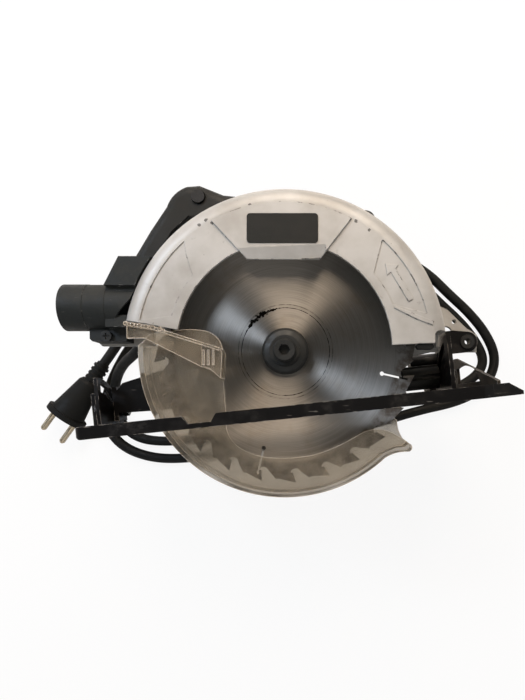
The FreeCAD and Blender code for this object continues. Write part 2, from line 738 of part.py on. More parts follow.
def make_lower_guard():
    guard = Piece("lower_guard")
    radius, wall = size.shield_radius, size.shield_wall
    inside = radius - wall
    start, end = 178, 313
    # the nose that lifts the guard as it meets the board
    nose = [(67.4, -61.2, 73.6, -60.6), (76.3, -58.2, 74.6, -55.6)]
    # back plate with its hub
    back = [polar(radius, start), arc_to(radius, start, end)] + nose
    back += [(70.8, -49.5, 69.4, -42), (28, -14), (*polar(31, 60), -28, 14)]
    guard.pad([back], "shield_back", "shield_wall")
    guard.pocket([disc(0, 0, "nose_radius + 0.3")], "shield_back + shield_wall", "shield_wall")
    # rim
    guard.pad([band(inside, radius, start, end)], "shield_back", "shield_front - shield_back")
    lip = [polar(radius, end)] + nose + [(72.2, -57.9), (66.4, -58.6), polar(inside, end)]
    guard.pad([lip], "shield_back", "shield_front - shield_back")
    # face towards the viewer of the blade: an open crescent and a clear panel at the rear
    face = [
        polar(radius, start),
        arc_to(radius, start, end),
        *nose,
        (69.2, -51.8, 62, -48.2),
        (53.3, -47.2, 45, -49.9),
        (34.8, -55.6, 21.6, -61.2),
        (9, -63.8, -3, -64.3),
        (-14.9, -63.1, -24.5, -59.6),
        (-32, -53.2, -35.1, -44),
        (-35.3, -36.2),
        (-37.1, -15.6),
        (-37.3, -2.7),
        (-40.2, 7.4, -47, 11.7),
        (-57, 12.8, -66.4, 12),
        (-80, 10),
    ]
    guard.pad([face], "shield_front - shield_wall", "shield_wall")
    # thumb lever: a ribbed post through the window and an arm over the upper guard's face
    post = [(-47.3, -10.6), (-42.7, -11.4), (-36, -17.2), (-35.4, -4), (-36.4, -0.4, -39.6, 1.2), (-47.3, 3.6)]
    lever_level = size.guard_front + size.pad_height + 1.6
    guard.pad([post], "shield_front - 0.2", f"{lever_level} - shield_front + 3.2")
    arm = [(-47.3, -10.6), (-38.2, 0.8), (-74.9, 12.4), (-90.6, 15), (-90, 5.9), (-80, 5.9)]
    guard.pad([arm], lever_level, "3")
    for x in (-46.4, -43.6, -40.8):
        guard.pad([box_outline(x, -9.5, x + 1.1, -1)], lever_level, "4.4")
    # the arm's raised edge and the bumps that the thumb pushes
    edge = [(-90.6, 15), (-90.6, 13.2), (-74.9, 10.6), (-37, -1.2), (-36.4, 0.2), (-74.9, 12.4)]
    guard.pad([edge], lever_level, "5.5")
    for bump in range(6):
        guard.pad([disc(-89.6 + 3.9 * bump, 13.9 - 0.62 * bump, "1.2")], lever_level, "6.5")

    ring = Piece("guard_retaining_ring")
    ring.pad([disc(0, 0, "24.6"), disc(0, 0, "20.05")], "122.1", "1.4")
    coil("guard_return_spring", 25.2, 0.4, 2, 1, Vector(0, 0, 116.5), upwards)
    stop = Piece("rubber_bumper")
    stop.pad([oblong((79.4, 1.9), (86.5, 1.9), 1.6)], "shield_front + 1.4", "4.6")


# ---- base --------------------------------------------------------------------------------------------

front_bevel_angle = 30
rear_bevel_angle = 33


def base_piece(label, whole=True):
    """A body drawn in the base's own frame: its origin is the depth pivot and X runs along the sole."""
    turn = Rotation(upwards, size.base_tilt)
    return Piece(label, "pivot_x", "pivot_y - spindle_drop", turn=turn, whole=whole)


def from_base(along, up):
    """A point of the base's own frame, about the spindle axis."""
    lean = math.radians(size.base_tilt)
    x = size.pivot_x + along * math.cos(lean) - up * math.sin(lean)
    y = size.pivot_y + along * math.sin(lean) + up * math.cos(lean)
    return x, y


def bevel_point(radius, angle):
    """A point seen along the sole, turned up from the sole about the bevel axis: (up, Z)."""
    lift = math.radians(angle)
    return (-size.sole_depth + radius * math.sin(lift), size.kerf_plane - radius * math.cos(lift))


def bevel_arc(radius, start, end):
    return (*bevel_point(radius, (start + end) / 2), *bevel_point(radius, end))


def bevel_slot(radius, start, end, half):
    """An arc slot about the bevel axis, with square-cut ends."""
    return [
        bevel_point(radius - half, start),
        bevel_point(radius + half, start),
        bevel_arc(radius + half, start, end),
        bevel_point(radius - half, end),
        bevel_arc(radius - half, end, start),
    ]


def make_base_plate():
    sole = -size.sole_depth
    top = sole + size.base_thickness
    rear, front, far, near = size.base_rear, size.base_front, size.base_far, size.base_near
    flange = sole + size.flange_height
    plate = base_piece("base_plate")
    # the section across the sole, with both long edges turned up
    section = [(sole, far), (sole, near), (flange, near), (flange, near - 2), (top, near - 2)]
    section += [(top, far + 2), (flange - 1, far + 2), (flange - 1, far)]
    plate.pad([section], "base_rear", "base_front - base_rear", plane="side")
    # blade window, cut-back front corners and sight notch
    window = box_outline(-218, 112, -27, 144)
    far_corner = [(front + 1, far - 1), (front + 1, far + 26), (front - 22, far - 1)]
    near_corner = [(front + 1, near + 1), (front + 1, near - 9), (front - 28, near + 1)]
    rear_corner = [(rear - 1, near + 1), (rear + 4, near + 1), (rear + 4, near)]
    rear_corner += [arc_to(4, 90, 180, (rear + 4, near - 4)), (rear - 1, near - 4)]
    fence_slot = box_outline(-14, 142, 8, 145)
    for cut in (window, far_corner, near_corner, rear_corner, fence_slot):
        plate.pocket([cut], "sole_depth + 1", "flange_height + 4", plane="front")
    # the turned-up edge carries on along the cut-back corner and round the nose
    lip = [(front - 25.5, near), (front, near - 8.6), (front, near - 20), (front - 2, near - 20)]
    lip += [(front - 2, near - 10), (front - 31, near)]
    plate.pad([lip], "sole_depth - flange_height", "flange_height", plane="front")
    nose = [(front - 10, flange + 1), (front - 8.5, flange - 0.4), (front, flange - 5.3), (front + 1, flange + 1)]
    plate.pocket([nose], "base_near + 1", "24")
    # sight notch and rounded rear end
    sight = box_outline(front - 9, 127, front + 1, 133)
    plate.pocket([sight], "sole_depth + 1", "flange_height + 4", plane="front")
    heel = [(rear - 1, sole - 1), (rear + 4, sole - 1), (rear + 4, sole)]
    heel += [arc_to(4, 270, 180, (rear + 4, sole + 4)), (rear - 1, sole + 4)]
    plate.pocket([heel], "base_near + 1", "14")
    shoulder = [(rear - 1, flange + 1), (rear - 1, flange - 2.5), (rear, flange - 2.5)]
    shoulder += [arc_to(2.5, 180, 90, (rear + 2.5, flange - 2.5)), (rear + 2.5, flange + 1)]
    plate.pocket([shoulder], "base_near + 1", "4")
    # loop that a rip fence's bar slides through
    loop = [(top, 48), (top + 9, 48), (top + 9, 70), (top, 70)]
    plate.pad([loop], "fence_place - 7", "14", plane="side")
    plate.pocket([box_outline(top, 50.5, top + 6.5, 67.5)], "fence_place + 7", "14", plane="side")
    plate.pocket([disc(size.fence_place, 59, "2.1")], "sole_depth - 7", "6", plane="front")
    # dip in the near flange for the blade bolt's key
    dip = [(-176, flange + 1), (-172, flange - 4.6), (-159, flange - 4.6), (-155, flange + 1)]
    plate.pocket([dip], "base_near + 1", "4")


def make_quadrants():
    top = -size.sole_depth + size.base_thickness
    front_plate = base_piece("front_quadrant")
    reach = size.bevel_slot_radius + 7
    outline = [
        (top, size.kerf_plane + 4),
        (top + 9, size.kerf_plane + 4),
        bevel_point(reach, 94),
        bevel_arc(reach, 94, 12),
        (top, bevel_point(reach, 12)[1]),
    ]
    front_plate.pad([outline], "quadrant_place", "2.4", plane="side")
    slot = bevel_slot(size.bevel_slot_radius, front_bevel_angle - 6, front_bevel_angle + 51, 3.3)
    front_plate.pocket([slot], "quadrant_place + 2.4", "2.4", plane="side")
    front_plate.pad([box_outline(top, 94, top + 2, 116)], "quadrant_place", "18", plane="side")

    scale_plate = base_piece("bevel_scale_plate")
    outline = [(top, 40), (top, 148.4), (top + 7.5, 148.4), (-6.5, 62), (-6.5, 50), (-12, 40)]
    scale_plate.pad([outline], "6.5", "2", plane="side")
    arch = [(-25.5, 116), (-17.5, 108), (-13.5, 88, -14.5, 64), (-25.5, 64)]
    scale_plate.pocket([arch], "8.5", "2", plane="side")
    scale_plate.pad([box_outline(top, 72, top + 2, 92)], "-2", "8.5", plane="side")

    rear_plate = base_piece("rear_quadrant")
    reach = size.rear_slot_radius + 6
    outline = [
        (top, size.kerf_plane + 1),
        (top + 12, size.kerf_plane + 2),
        bevel_point(reach, 92),
        bevel_arc(reach, 92, 8),
        (top, bevel_point(reach, 8)[1]),
    ]
    rear_plate.pad([outline], "-232.6", "2.4", plane="side")
    slot = bevel_slot(size.rear_slot_radius, rear_bevel_angle - 7, rear_bevel_angle + 52, 2.8)
    rear_plate.pocket([slot], "-230.2", "2.4", plane="side")
    rear_plate.pad([box_outline(top, 100, top + 2, 111)], "-232.6", "13", plane="side")


def make_depth_frame():
    # front bracket: a wall across the sole folded into the arm that carries the pivot
    bracket = base_piece("front_bracket")
    wall = [(-31, 86), (8, 86), (8, 119.6), (-31, 119.6)]
    bracket.pad([wall], "bracket_place", "3", plane="side")
    arm = [(-12, -6.5), (0, -6.5), arc_to(6.5, -90, 90), (-8, 8), (-12, 8)]
    bracket.pad([arm], "116.6", "3")
    bracket.pad([disc(-8.6, 91, "5.6")], "-33", "bracket_place + 33.5", plane="side")
    bracket.pocket([disc(0, 0, "3.1")], "119.6", "3")
    bolt_up, bolt_level = bevel_point(size.bevel_slot_radius, front_bevel_angle)
    bracket.pocket([disc(bolt_up, bolt_level, "3.1")], "bracket_place + 3", "3", plane="side")

    # depth link: an arc slot about the pivot and a foot with a folded tab
    link = base_piece("depth_link")
    radius = size.link_radius
    outline = [
        polar(radius - 6.6, 148.7),
        polar(radius + 6.6, 148.7),
        arc_to(radius + 6.6, 148.7, 178),
        (-222, -3),
        (-226.5, -8),
        (-226.5, -22),
        (-172, -24),
        polar(radius - 6.6, 186),
        arc_to(radius - 6.6, 186, 148.7),
    ]
    link.pad([outline], "link_bottom", "link_thickness")
    slot = band(radius - 3.3, radius + 3.3, 149.9, 176.4)
    link.pocket([slot], "link_bottom + link_thickness", "link_thickness")
    tab = box_outline(-27, 99, -5, 112.8)
    link.pad([tab], "-229.2", "3", plane="side")
    rear_up, rear_level = bevel_point(size.rear_slot_radius, rear_bevel_angle)
    link.pocket([disc(rear_up, rear_level, "2.6")], "-226.2", "3", plane="side")

    # clamping knobs with their bolts, turned about lines along the sole
    front_knob = base_piece("front_bevel_knob")
    front_knob.pad([disc(bolt_up, bolt_level, "3")], "-40", "35.5", plane="side")
    lobes = []
    for lobe in range(6):
        middle = lobe * 60
        lobes.append(polar(8, middle - 18, (bolt_up, bolt_level)))
        lobes.append(arc_to(8, middle - 18, middle + 18, (bolt_up, bolt_level)))
        valley = polar(6.6, middle + 30, (bolt_up, bolt_level))
        lobes.append((*valley, *polar(8, middle + 42, (bolt_up, bolt_level))))
    front_knob.pad([lobes], "-41", "quadrant_place + 40.6", plane="side")
    nut = base_piece("front_bevel_nut", whole=False)
    hexagon = [polar(5.8, angle, (bolt_up, bolt_level)) for angle in range(0, 360, 60)]
    nut.pad([hexagon, disc(bolt_up, bolt_level, "3.05")], "bracket_place + 3.2", "4", plane="side")

    rear_knob = base_piece("rear_bevel_knob")
    rear_knob.pad([disc(rear_up, rear_level, "2.5")], "-240", "19", plane="side")
    rear_knob.pad([disc(rear_up, rear_level, "6")], "-243", "10", plane="side")
    wing = box_outline(rear_up - 12, rear_level - 1.6, rear_up + 12, rear_level + 1.6)
    rear_knob.pad([wing], "-246", "9", plane="side")
    rear_nut = base_piece("rear_bevel_nut", whole=False)
    hexagon = [polar(4.8, angle, (rear_up, rear_level)) for angle in range(0, 360, 60)]
    rear_nut.pad([hexagon, disc(rear_up, rear_level, "2.55")], "-225.8", "3.5", plane="side")
    group("bevel_nuts", [nut, rear_nut])

    # hollow rivet at the depth pivot, clinched on both sides
    pivot = Piece("front_pivot_rivet", "pivot_x", "pivot_y - spindle_drop")
    pivot.pad([disc(0, 0, "3")], "112.4", "8.4")
    pivot.pad([disc(0, 0, "5")], "112.2", "1.2")
    pivot.pad([disc(0, 0, "4.4")], "119.8", "1")
    pivot.pocket([disc(0, 0, "1.9")], "121", "10")

    # bolt, lever and nut that clamp the depth link against the guard
    lever_x, lever_y = -56, 22
    bolt = rod("depth_bolt_shank", "3", "20", lever_x, lever_y, "96.5", keep=False)
    head = rod("depth_bolt_head", "5.4", "2.4", lever_x, lever_y, "116.2", keep=False)
    joined("depth_bolt", [bolt, head])
    lever = Piece("depth_lever", str(lever_x), f"{lever_y} - spindle_drop")
    lever.pad([disc(0, 0, "8")], "98", "11.2")
    lever.pad([oblong((0, 0), (-38, 6), 4.5)], "98", "4")
    lever.pad([oblong((-22, 3.5), (-38, 6), 6)], "96.5", "7")
    lever.pocket([disc(0, 0, "3.06")], "110", "14")


def make_fence_screw():
    """The wing screw that clamps a rip fence's bar in its loop on the base."""
    top = size.base_thickness - size.sole_depth
    x, y = from_base(size.fence_place, top + 6.7)
    lean = math.radians(size.base_tilt)
    along = Vector(-math.sin(lean), math.cos(lean), 0)
    shank = rod("fence_shank", "2", "9", x, y, "59", along, keep=False)
    x, y = from_base(size.fence_place, top + 15)
    collar = rod("fence_collar", "4.2", "4", x, y, "59", along, keep=False)
    wings = Piece("fence_wings", "pivot_x", "pivot_y - spindle_drop", turn=Rotation(upwards, size.base_tilt),
                  whole=False)
    wings.pad([oblong((top + 17, 52), (top + 21, 49), 2.4), oblong((top + 17, 66), (top + 21, 69), 2.4)],
              "fence_place - 1", "2", plane="side")
    wings.pad([box_outline(top + 16, 52, top + 19, 66)], "fence_place - 1", "2", plane="side")
    joined("fence_screw", [shank, collar, wings.body])


# ---- handle ------------------------------------------------------------------------------------------

handle_outline = [
    (-100, 43),
    (-108, 52),
    (-104.5, 66),
    (-93.5, 84.5),
    (-82.5, 101),
    (-76.3, 110.4, -68.5, 114.8),
    (-60, 115.4),
    (-44, 109),
    (-8, 105.5),
    (24, 101),
    (34, 90),
    (37, 75),
    (64, 75),
    (67, 66),
    (60, 56),
    (30, 56),
    (-30, 56),
    (-44, 43),
]
grip_opening = [
    (-86, 60),
    (-87, 68),
    (-78, 83),
    (-66.5, 93.5),
    (-58, 93),
    (-12, 87),
    (-8, 84),
    (-30, 80),
    (-52, 62),
    (-56, 57),
    (-82, 56),
]
handle_screw_places = [(-97, 57), (-76, 95.5), (-10, 97), (57, 66)]
trigger_pivot = (-40, 97.5)
lock_place = (-60, 106)
gland_start = Vector(-88, 46, 87)
gland_way = Vector(-0.42, -0.75, -0.51).normalize()
gland_length = 26


def make_handle():
    middle, half = size.handle_middle, size.handle_half
    for label, bottom, floor in (
        ("handle_half_motor_side", "handle_middle - handle_half", "handle_middle"),
        ("handle_half_blade_side", "handle_middle", "handle_middle + handle_half - handle_wall"),
    ):
        motor_side = "motor" in label
        shell = Piece(label)
        shell.pad([handle_outline], bottom, "handle_half")
        shell.dress("Fillet", 6.8, level_edges(middle - half if motor_side else middle + half))
        shell.pocket([grip_opening], "handle_middle + handle_half", "handle_half * 2")
        # hollow, but for the wall round the grip's opening and the screw bosses
        hollow = [disc(x, y, "4.6") for x, y in handle_screw_places]
        hollow.append(inset_outline(handle_outline, size.handle_wall))
        hollow.append(inset_outline(grip_opening, -size.handle_wall))
        shell.pocket(hollow, floor, "handle_half - handle_wall")
        # saddle cut away for the motor housing and gear case
        saddle = disc(0, size.spindle_drop, "motor_radius + 1.05")
        shell.pocket([saddle], "handle_middle + handle_half", "handle_half * 2")
        for x, y in handle_screw_places:
            shell.pocket([disc(x, y, "2.05")], "97", "40")
            if motor_side:
                shell.pocket([disc(x, y, "4.1")], "71", "4")
        trigger_slot = box_outline(-66.5, 84, -34.5, 97)
        shell.pocket([trigger_slot], "91.6" if not motor_side else "handle_middle", "6.6")
        if not motor_side:
            shell.pocket([disc(*lock_place, "4.8")], "handle_middle + handle_half + 1", "5")
        cord_way = oblong((-92.2, 82), (-85.5, 90), 7.2)
        shell.pocket([cord_way], "-39", "8", plane="front")

    screws = []
    for number, (x, y) in enumerate(handle_screw_places):
        screws.append(screw(f"handle_screw{number}", x, y, 71, 25, 1.95, 3.9, 2.2, Vector(0, 0, -1)))
    group("handle_screws", screws)

    knob = Piece("front_handle", "49.5", "75 - spindle_drop", "handle_middle", Rotation(Vector(1, 0, 0), -90))
    profile = [(0, 0), (10, 0), (8, 5), (7.4, 11, 8.8, 17.5), (10, 21.5, 8, 25.6), (0, 26.5)]
    knob.turned(profile)


def make_switch():
    x, y = trigger_pivot
    trigger = Piece("trigger")
    outline = [
        (x + 3.4, y + 1),
        (x + 3.4, y - 4),
        (x - 3, y - 11),
        (x - 12, y - 14.5, x - 21, y - 11),
        (x - 24, y - 4),
        (x - 24, y + 3),
        (x, y + 4),
    ]
    trigger.pad([outline], "handle_middle - 6", "12")
    trigger.pocket([disc(x, y, "1.55")], "handle_middle + 6", "12")
    rod("trigger_pin", "1.5", "27", x, y, "handle_middle - 13.5")
    coil("trigger_spring", 2.6, 0.45, 5, 1.28, Vector(x - 17, y + 5, size.handle_middle), Vector(0, 1, 0))
    body = Piece("switch_body")
    body.pad([box_outline(-33, 93.6, -16, 101.8)], "handle_middle - 9", "18")
    body.pad([box_outline(-30, 92.6, -27, 93.6)], "handle_middle - 3", "6")
    button = Piece("lock_off_button")
    button.pad([disc(*lock_place, "4.4")], "handle_middle + handle_half - 6", "7.6")
    button.pad([disc(*lock_place, "5.6")], "handle_middle + handle_half - 7.5", "3")


# ---- dust port ---------------------------------------------------------------------------------------


def make_dust_port():
    port = Piece("dust_port")
    gap = size.guard_radius + 0.4
    high = math.degrees(math.asin(56.1 / gap))
    low = math.degrees(math.asin(14.4 / gap))
    split = math.degrees(math.asin(38.8 / gap))
    upper = [(-108, 38.8), (-99.2, 56.1), polar(gap, 180 - high), arc_to(gap, 180 - high, 180 - split)]
    lower = [(-108, 14.4), (-108, 38.8), polar(gap, 180 - split), arc_to(gap, 180 - split, 180 - low)]
    port.pad([upper], "port_level - 8.8", "22.8")
    port.pad([lower], "port_level - 8.8", "19.8")
    middle = (size.port_height, size.port_level)
    # outlet tube: the first 15 mm take a cuff, then it is a little thinner
    port.pad([disc(*middle, "port_radius")], "port_end", "15", plane="side")
    port.pad([disc(*middle, "port_radius - 0.2")], "port_end + 14.5", "-122.5 - port_end", plane="side")
    port.pad([disc(*middle, "port_radius - 0.4")], "-108.5", "21.5", plane="side")
    port.pocket([[(-109, 12), (-85, 39), (-60, 39), (-60, 12)]], "141", "5")
    port.pocket([disc(0, 0, "guard_radius + 0.4")], "150", "50")
    port.pocket([disc(*middle, "port_radius - port_wall + 0.5")], "-80", "-80 - port_end - 35", plane="side")
    port.pocket([disc(*middle, "port_radius - port_wall")], "port_end + 36", "40", plane="side")
    port.pocket([band(60, 96, 150, 168)], "136", "17")
    lug = [(-119, 6.6), (-97.8, 6.6), (-97.8, 15), (-120.6, 15), (-120.6, 8.2)]
    port.pad([lug], "guard_back + guard_wall + 0.1", "12.6")
    port.pocket([disc(*port_screw, "1.8")], "129", "14")
    head = screw("port_screw", *port_screw, 128.9, 14, 1.6, 3.4, 1.8)
    group("dust_port_screw", [head])


# ---- cord and plug -----------------------------------------------------------------------------------

plug_way = Vector(-0.585, -0.811, 0).normalize()
plug_level = 13.2
relief_start = Vector(-159.4, 1.6, plug_level)
relief_length = 18
body_length = 37

# the cord's route from the gland down to the floor and twice round under the saw to the plug
floor_route = [
    (-118, 6, 57),
    (-133, -1, 42),
    (-146.5, -13, 22),
    (-152, -31, 8.5),
    (-148, -49, 4),
    (-134, -61, 4),
    (-112, -64, 4),
    (-84, -61.5, 4),
    (-52, -59.5, 4),
    (-15, -54.5, 4),
    (22, -50, 4),
    (58, -38, 4),
    (90, -30, 4),
    (118, -24, 4),
    (139, -17.5, 4),
    (155.5, -7, 4),
    (161, 6, 4),
    (153, 22.5, 4),
    (140, 38.5, 4),
    (123.5, 53.5, 4),
    (106, 71, 4),
    (80, 86, 4),
    (50, 98, 4),
    (18, 103.5, 4),
    (-14, 103, 4),
    (-46, 94, 4),
    (-76, 79, 4),
    (-103, 60, 4),
    (-124, 39, 4),
    (-141, 17, 4),
    (-154, -5.5, 4),
    (-162.5, -30, 4),
    (-160, -53, 4),
    (-146, -69, 4),
    (-123, -77.5, 4),
    (-97, -78.5, 4),
    (-66, -74.5, 4),
    (-32, -68, 4),
    (4, -62.5, 4),
    (40, -56, 4),
    (74, -46.5, 4),
    (106, -37, 4),
    (134, -31, 4),
    (153.5, -22.5, 4),
    (167.5, -7.5, 4),
    (170.5, 10, 4),
    (161.5, 29.5, 4),
    (147, 47, 4),
    (131, 61.5, 4),
    (113, 79.5, 4),
    (86, 95.5, 4),
    (54, 108, 4),
    (20, 114, 4),
    (-14, 113.5, 4),
    (-48, 104, 4),
    (-80, 88.5, 4),
    (-108, 69, 4),
    (-129, 49.5, 5),
    (-140, 32.5, 10.5),
]


def cord_points():
    """Every point of the cord's route, about the spindle axis."""
    start = gland_start + gland_way * gland_length
    points = [start, start + gland_way * 14]
    points += [Vector(*point) for point in floor_route]
    points += [relief_start - plug_way * 14, relief_start]
    return points


def rounded_path(points):
    """Straight runs joined by tangent arcs, each as large as its two runs allow."""
    edges = []
    last = points[0]
    radii = []
    for before, corner, after in zip(points, points[1:], points[2:]):
        back = (before - corner).normalize()
        ahead = (after - corner).normalize()
        half_turn = (math.pi - back.getAngle(ahead)) / 2
        reach = 0.45 * min(before.distanceToPoint(corner), after.distanceToPoint(corner))
        radius = reach / math.tan(half_turn)
        radii.append(radius)
        first = corner + back * reach
        final = corner + ahead * reach
        inward = (back + ahead).normalize()
        middle = corner + inward * (radius / math.cos(half_turn) - radius)
        edges.append(Part.LineSegment(last, first).toShape())
        edges.append(Part.Arc(first, middle, final).toShape())
        last = final
    edges.append(Part.LineSegment(last, points[-1]).toShape())
    print("cord radii", sorted(round(radius) for radius in radii)[:8])
    return Part.Wire(edges)


def make_cord():
    foot = gland_start - gland_way * 3
    taper = cone("gland_taper", "6.4", "5", gland_length + 3, foot.x, foot.y, foot.z, gland_way)
    rings = []
    for step in range(4):
        at = gland_start + gland_way * (9 + step * 4)
        radius = 6.7 - step * 0.25
        rings.append(rod(f"gland_ring{step}", str(radius), "1.8", at.x, at.y, at.z, gland_way, keep=False))
    joined("cord_gland", [taper] + rings)

    path = rounded_path(cord_points())
    section = Part.Wire(Part.Circle(path.Edges[0].Vertexes[0].Point, gland_way, size.cord_radius).toShape())
    cord = document.addObject("Part::Feature", "cord")
    cord.Label = "cord"
    cord.Shape = path.makePipeShell([section], True, False)
    cord.Placement = Placement(Vector(0, -size.spindle_drop, 0), Rotation())
    nodes["cord"] = cord
    expected = math.pi * size.cord_radius**2 * path.Length
    print("cord length", round(path.Length), "volume ratio", round(cord.Shape.Volume / expected, 4))


def make_plug():
    # each section's long axis lies flat across the plug
    long_axis = Vector(-plug_way.y, plug_way.x, 0)
    short_axis = plug_way.cross(long_axis)
    lie = Rotation(long_axis, short_axis, plug_way, "ZXY")
    sections = []
    start = relief_start + plug_way * relief_length
    # the tapered body, then the collar at the pins' end
    neck = body_length - 4.5
    ovals = [(0, 7.2, 7), (2.5, 9, 8.2), (18, 11.9, 10), (neck, 14.6, 11.6), (neck, 17.4, 12.8)]
    for step, (along, wide, deep) in enumerate(ovals):
        oval = document.addObject("Part::Ellipse", f"plug_section{step}")
        oval.MajorRadius = wide + (0.01 if wide == deep else 0)
        oval.MinorRadius = deep
        at = start + plug_way * along
        oval.Placement = Placement(at + Vector(0, -size.spindle_drop, 0), lie)
        sections.append(oval)
    loft = document.addObject("Part::Loft", "plug_loft")
    loft.Sections = sections[:-1]
    loft.Solid = True
    loft.Ruled = True
    collar = document.addObject("Part::Extrusion", "plug_collar")
    collar.Base = sections[-1]
    collar.DirMode = "Custom"
    collar.Dir = plug_way
    collar.LengthFwd = 4.5
    collar.Solid = True
    relief = cone("plug_relief", "5", "6", relief_length + 1, *relief_start, plug_way)
    rings = []
    for step in range(4):
        at = relief_start + plug_way * (2.5 + step * 4)
        rings.append(rod(f"plug_ring{step}", "6.4", "1.8", at.x, at.y, at.z, plug_way, keep=False))
    joined("plug_body", [loft, collar, relief] + rings)
    pins = []
    face = start + plug_way * body_length
    for side in (-1, 1):
        at = face + long_axis * (side * size.pin_gap / 2)
        bar = rod(f"pin_bar{side + 1}", "pin_radius", "17.5", at.x, at.y, at.z, plug_way, keep=False)
        tip = at + plug_way * 17.5
        nose = cone(f"pin_nose{side + 1}", "pin_radius", "1.2", "1.5", tip.x, tip.y, tip.z, plug_way)
        pins.append(joined(f"pin{side + 1}", [bar, nose], keep=False))
    group("plug_pins", pins)


make_motor()
make_gearcase()
make_blade()
make_upper_guard()
make_lower_guard()
make_base_plate()
make_quadrants()
make_depth_frame()
make_fence_screw()
make_handle()
make_switch()
make_dust_port()
make_cord()
make_plug()
document.recompute()

faults = [item.Name for item in document.Objects if {"Invalid", "Error"} & set(item.State)]
faults += [label for label, item in nodes.items() if item.Shape.isNull() or not item.Shape.isValid()]
if faults:
    raise RuntimeError("these objects failed: " + ", ".join(faults))

os.makedirs("parts", exist_ok=True)
for label, item in nodes.items():
    item.Shape.exportStep(f"parts/{label}.step")
    print(label, len(item.Shape.Solids), "solids", round(item.Shape.Volume), "mm3")
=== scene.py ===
import bmesh
import bpy
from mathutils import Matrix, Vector


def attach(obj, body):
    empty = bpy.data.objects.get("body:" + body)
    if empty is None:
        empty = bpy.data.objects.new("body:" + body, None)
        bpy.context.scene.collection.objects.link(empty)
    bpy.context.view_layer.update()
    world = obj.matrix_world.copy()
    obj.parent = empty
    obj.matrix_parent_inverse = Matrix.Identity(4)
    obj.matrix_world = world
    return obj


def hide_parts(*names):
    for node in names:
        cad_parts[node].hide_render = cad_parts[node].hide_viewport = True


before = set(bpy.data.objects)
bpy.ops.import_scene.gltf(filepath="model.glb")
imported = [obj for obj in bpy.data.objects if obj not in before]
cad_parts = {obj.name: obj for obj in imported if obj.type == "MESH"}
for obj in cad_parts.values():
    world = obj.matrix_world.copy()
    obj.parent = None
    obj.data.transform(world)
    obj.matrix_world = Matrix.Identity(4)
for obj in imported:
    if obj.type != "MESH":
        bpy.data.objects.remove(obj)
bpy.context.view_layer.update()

mm = 0.001
scene = bpy.context.scene
scene.view_settings.view_transform = "Standard"

# ---- camera: straight down on the blade from a little over 300 mm above it

cameraSetup = {
    "place": (21, -66.6, 452),  # mm
    "lens": 27.05,
    "shift": (-0.0821, 0.0786),
    "nearest": 10,  # mm
}

cameraData = bpy.data.cameras.new("viewCamera")
cameraData.lens = cameraSetup["lens"]
cameraData.shift_x, cameraData.shift_y = cameraSetup["shift"]
cameraData.clip_start = cameraSetup["nearest"] * mm
camera = bpy.data.objects.new("viewCamera", cameraData)
camera.location = Vector(cameraSetup["place"]) * mm
scene.collection.objects.link(camera)
scene.camera = camera


# ---- cord: out of the gland, twice round under the saw on the floor, then up into the plug

spindle = Vector((0, -34, 0))  # the blade's axis in mm; the cord's points are from it
gland = {"start": (-88, 46, 87), "way": (-0.42, -0.75, -0.51), "length": 26}
plug = {"way": (-0.585, -0.811, 0), "reliefStart": (-159.4, 1.6, 13.2)}
cord = {
    "width": 8,  # mm over the jacket
    "length": 1676,  # mm from the gland to the plug
    "straight": 14,  # mm that it runs straight on at each end
    "stepsAlong": 8,
    "stepsRound": 6,
    "route": [
        (-118, 6, 57), (-133, -1, 42), (-146.5, -13, 22), (-152, -31, 8.5), (-148, -49, 4), (-134, -61, 4),
        (-112, -64, 4), (-84, -61.5, 4), (-52, -59.5, 4), (-15, -54.5, 4), (22, -50, 4), (58, -38, 4),
        (90, -30, 4), (118, -24, 4), (139, -17.5, 4), (155.5, -7, 4), (161, 6, 4), (153, 22.5, 4),
        (140, 38.5, 4), (123.5, 53.5, 4), (106, 71, 4), (80, 86, 4), (50, 98, 4), (18, 103.5, 4),
        (-14, 103, 4), (-46, 94, 4), (-76, 79, 4), (-103, 60, 4), (-124, 39, 4), (-141, 17, 4),
        (-154, -5.5, 4), (-162.5, -30, 4), (-160, -53, 4), (-146, -69, 4), (-123, -77.5, 4),
        (-97, -78.5, 4), (-66, -74.5, 4), (-32, -68, 4), (4, -62.5, 4), (40, -56, 4), (74, -46.5, 4),
        (106, -37, 4), (134, -31, 4), (153.5, -22.5, 4), (167.5, -7.5, 4), (170.5, 10, 4),
        (161.5, 29.5, 4), (147, 47, 4), (131, 61.5, 4), (113, 79.5, 4), (86, 95.5, 4), (54, 108, 4),
        (20, 114, 4), (-14, 113.5, 4), (-48, 104, 4), (-80, 88.5, 4), (-108, 69, 4), (-129, 49.5, 5),
        (-140, 32.5, 10.5),
    ],
}


def atSpindle(point):
    return (Vector(point) + spindle) * mm


def makeCord(material):
    glandWay = Vector(gland["way"]).normalized()
    plugWay = Vector(plug["way"]).normalized()
    start = Vector(gland["start"]) + glandWay * gland["length"]
    end = Vector(plug["reliefStart"])
    points = [start, start + glandWay * cord["straight"], *cord["route"],
              end - plugWay * cord["straight"], end]
    curve = bpy.data.curves.new("cord", "CURVE")
    curve.dimensions = "3D"
    line = curve.splines.new("NURBS")
    line.points.add(len(points) - 1)
    for spot, point in zip(line.points, points):
        spot.co = (*atSpindle(point), 1)
    line.order_u = 3
    line.use_endpoint_u = True
    curve.resolution_u = cord["stepsAlong"]
    curve.bevel_depth = cord["width"] / 2 * mm
    curve.bevel_resolution = cord["stepsRound"]
    curve.use_fill_caps = True
    curve.materials.append(material)
    made = bpy.data.objects.new("cordJacket", curve)
    scene.collection.objects.link(made)
    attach(made, "saw")
    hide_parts("cord")


# ---- materials: one for each real finish, its patterns sized in mm and fixed to the piece

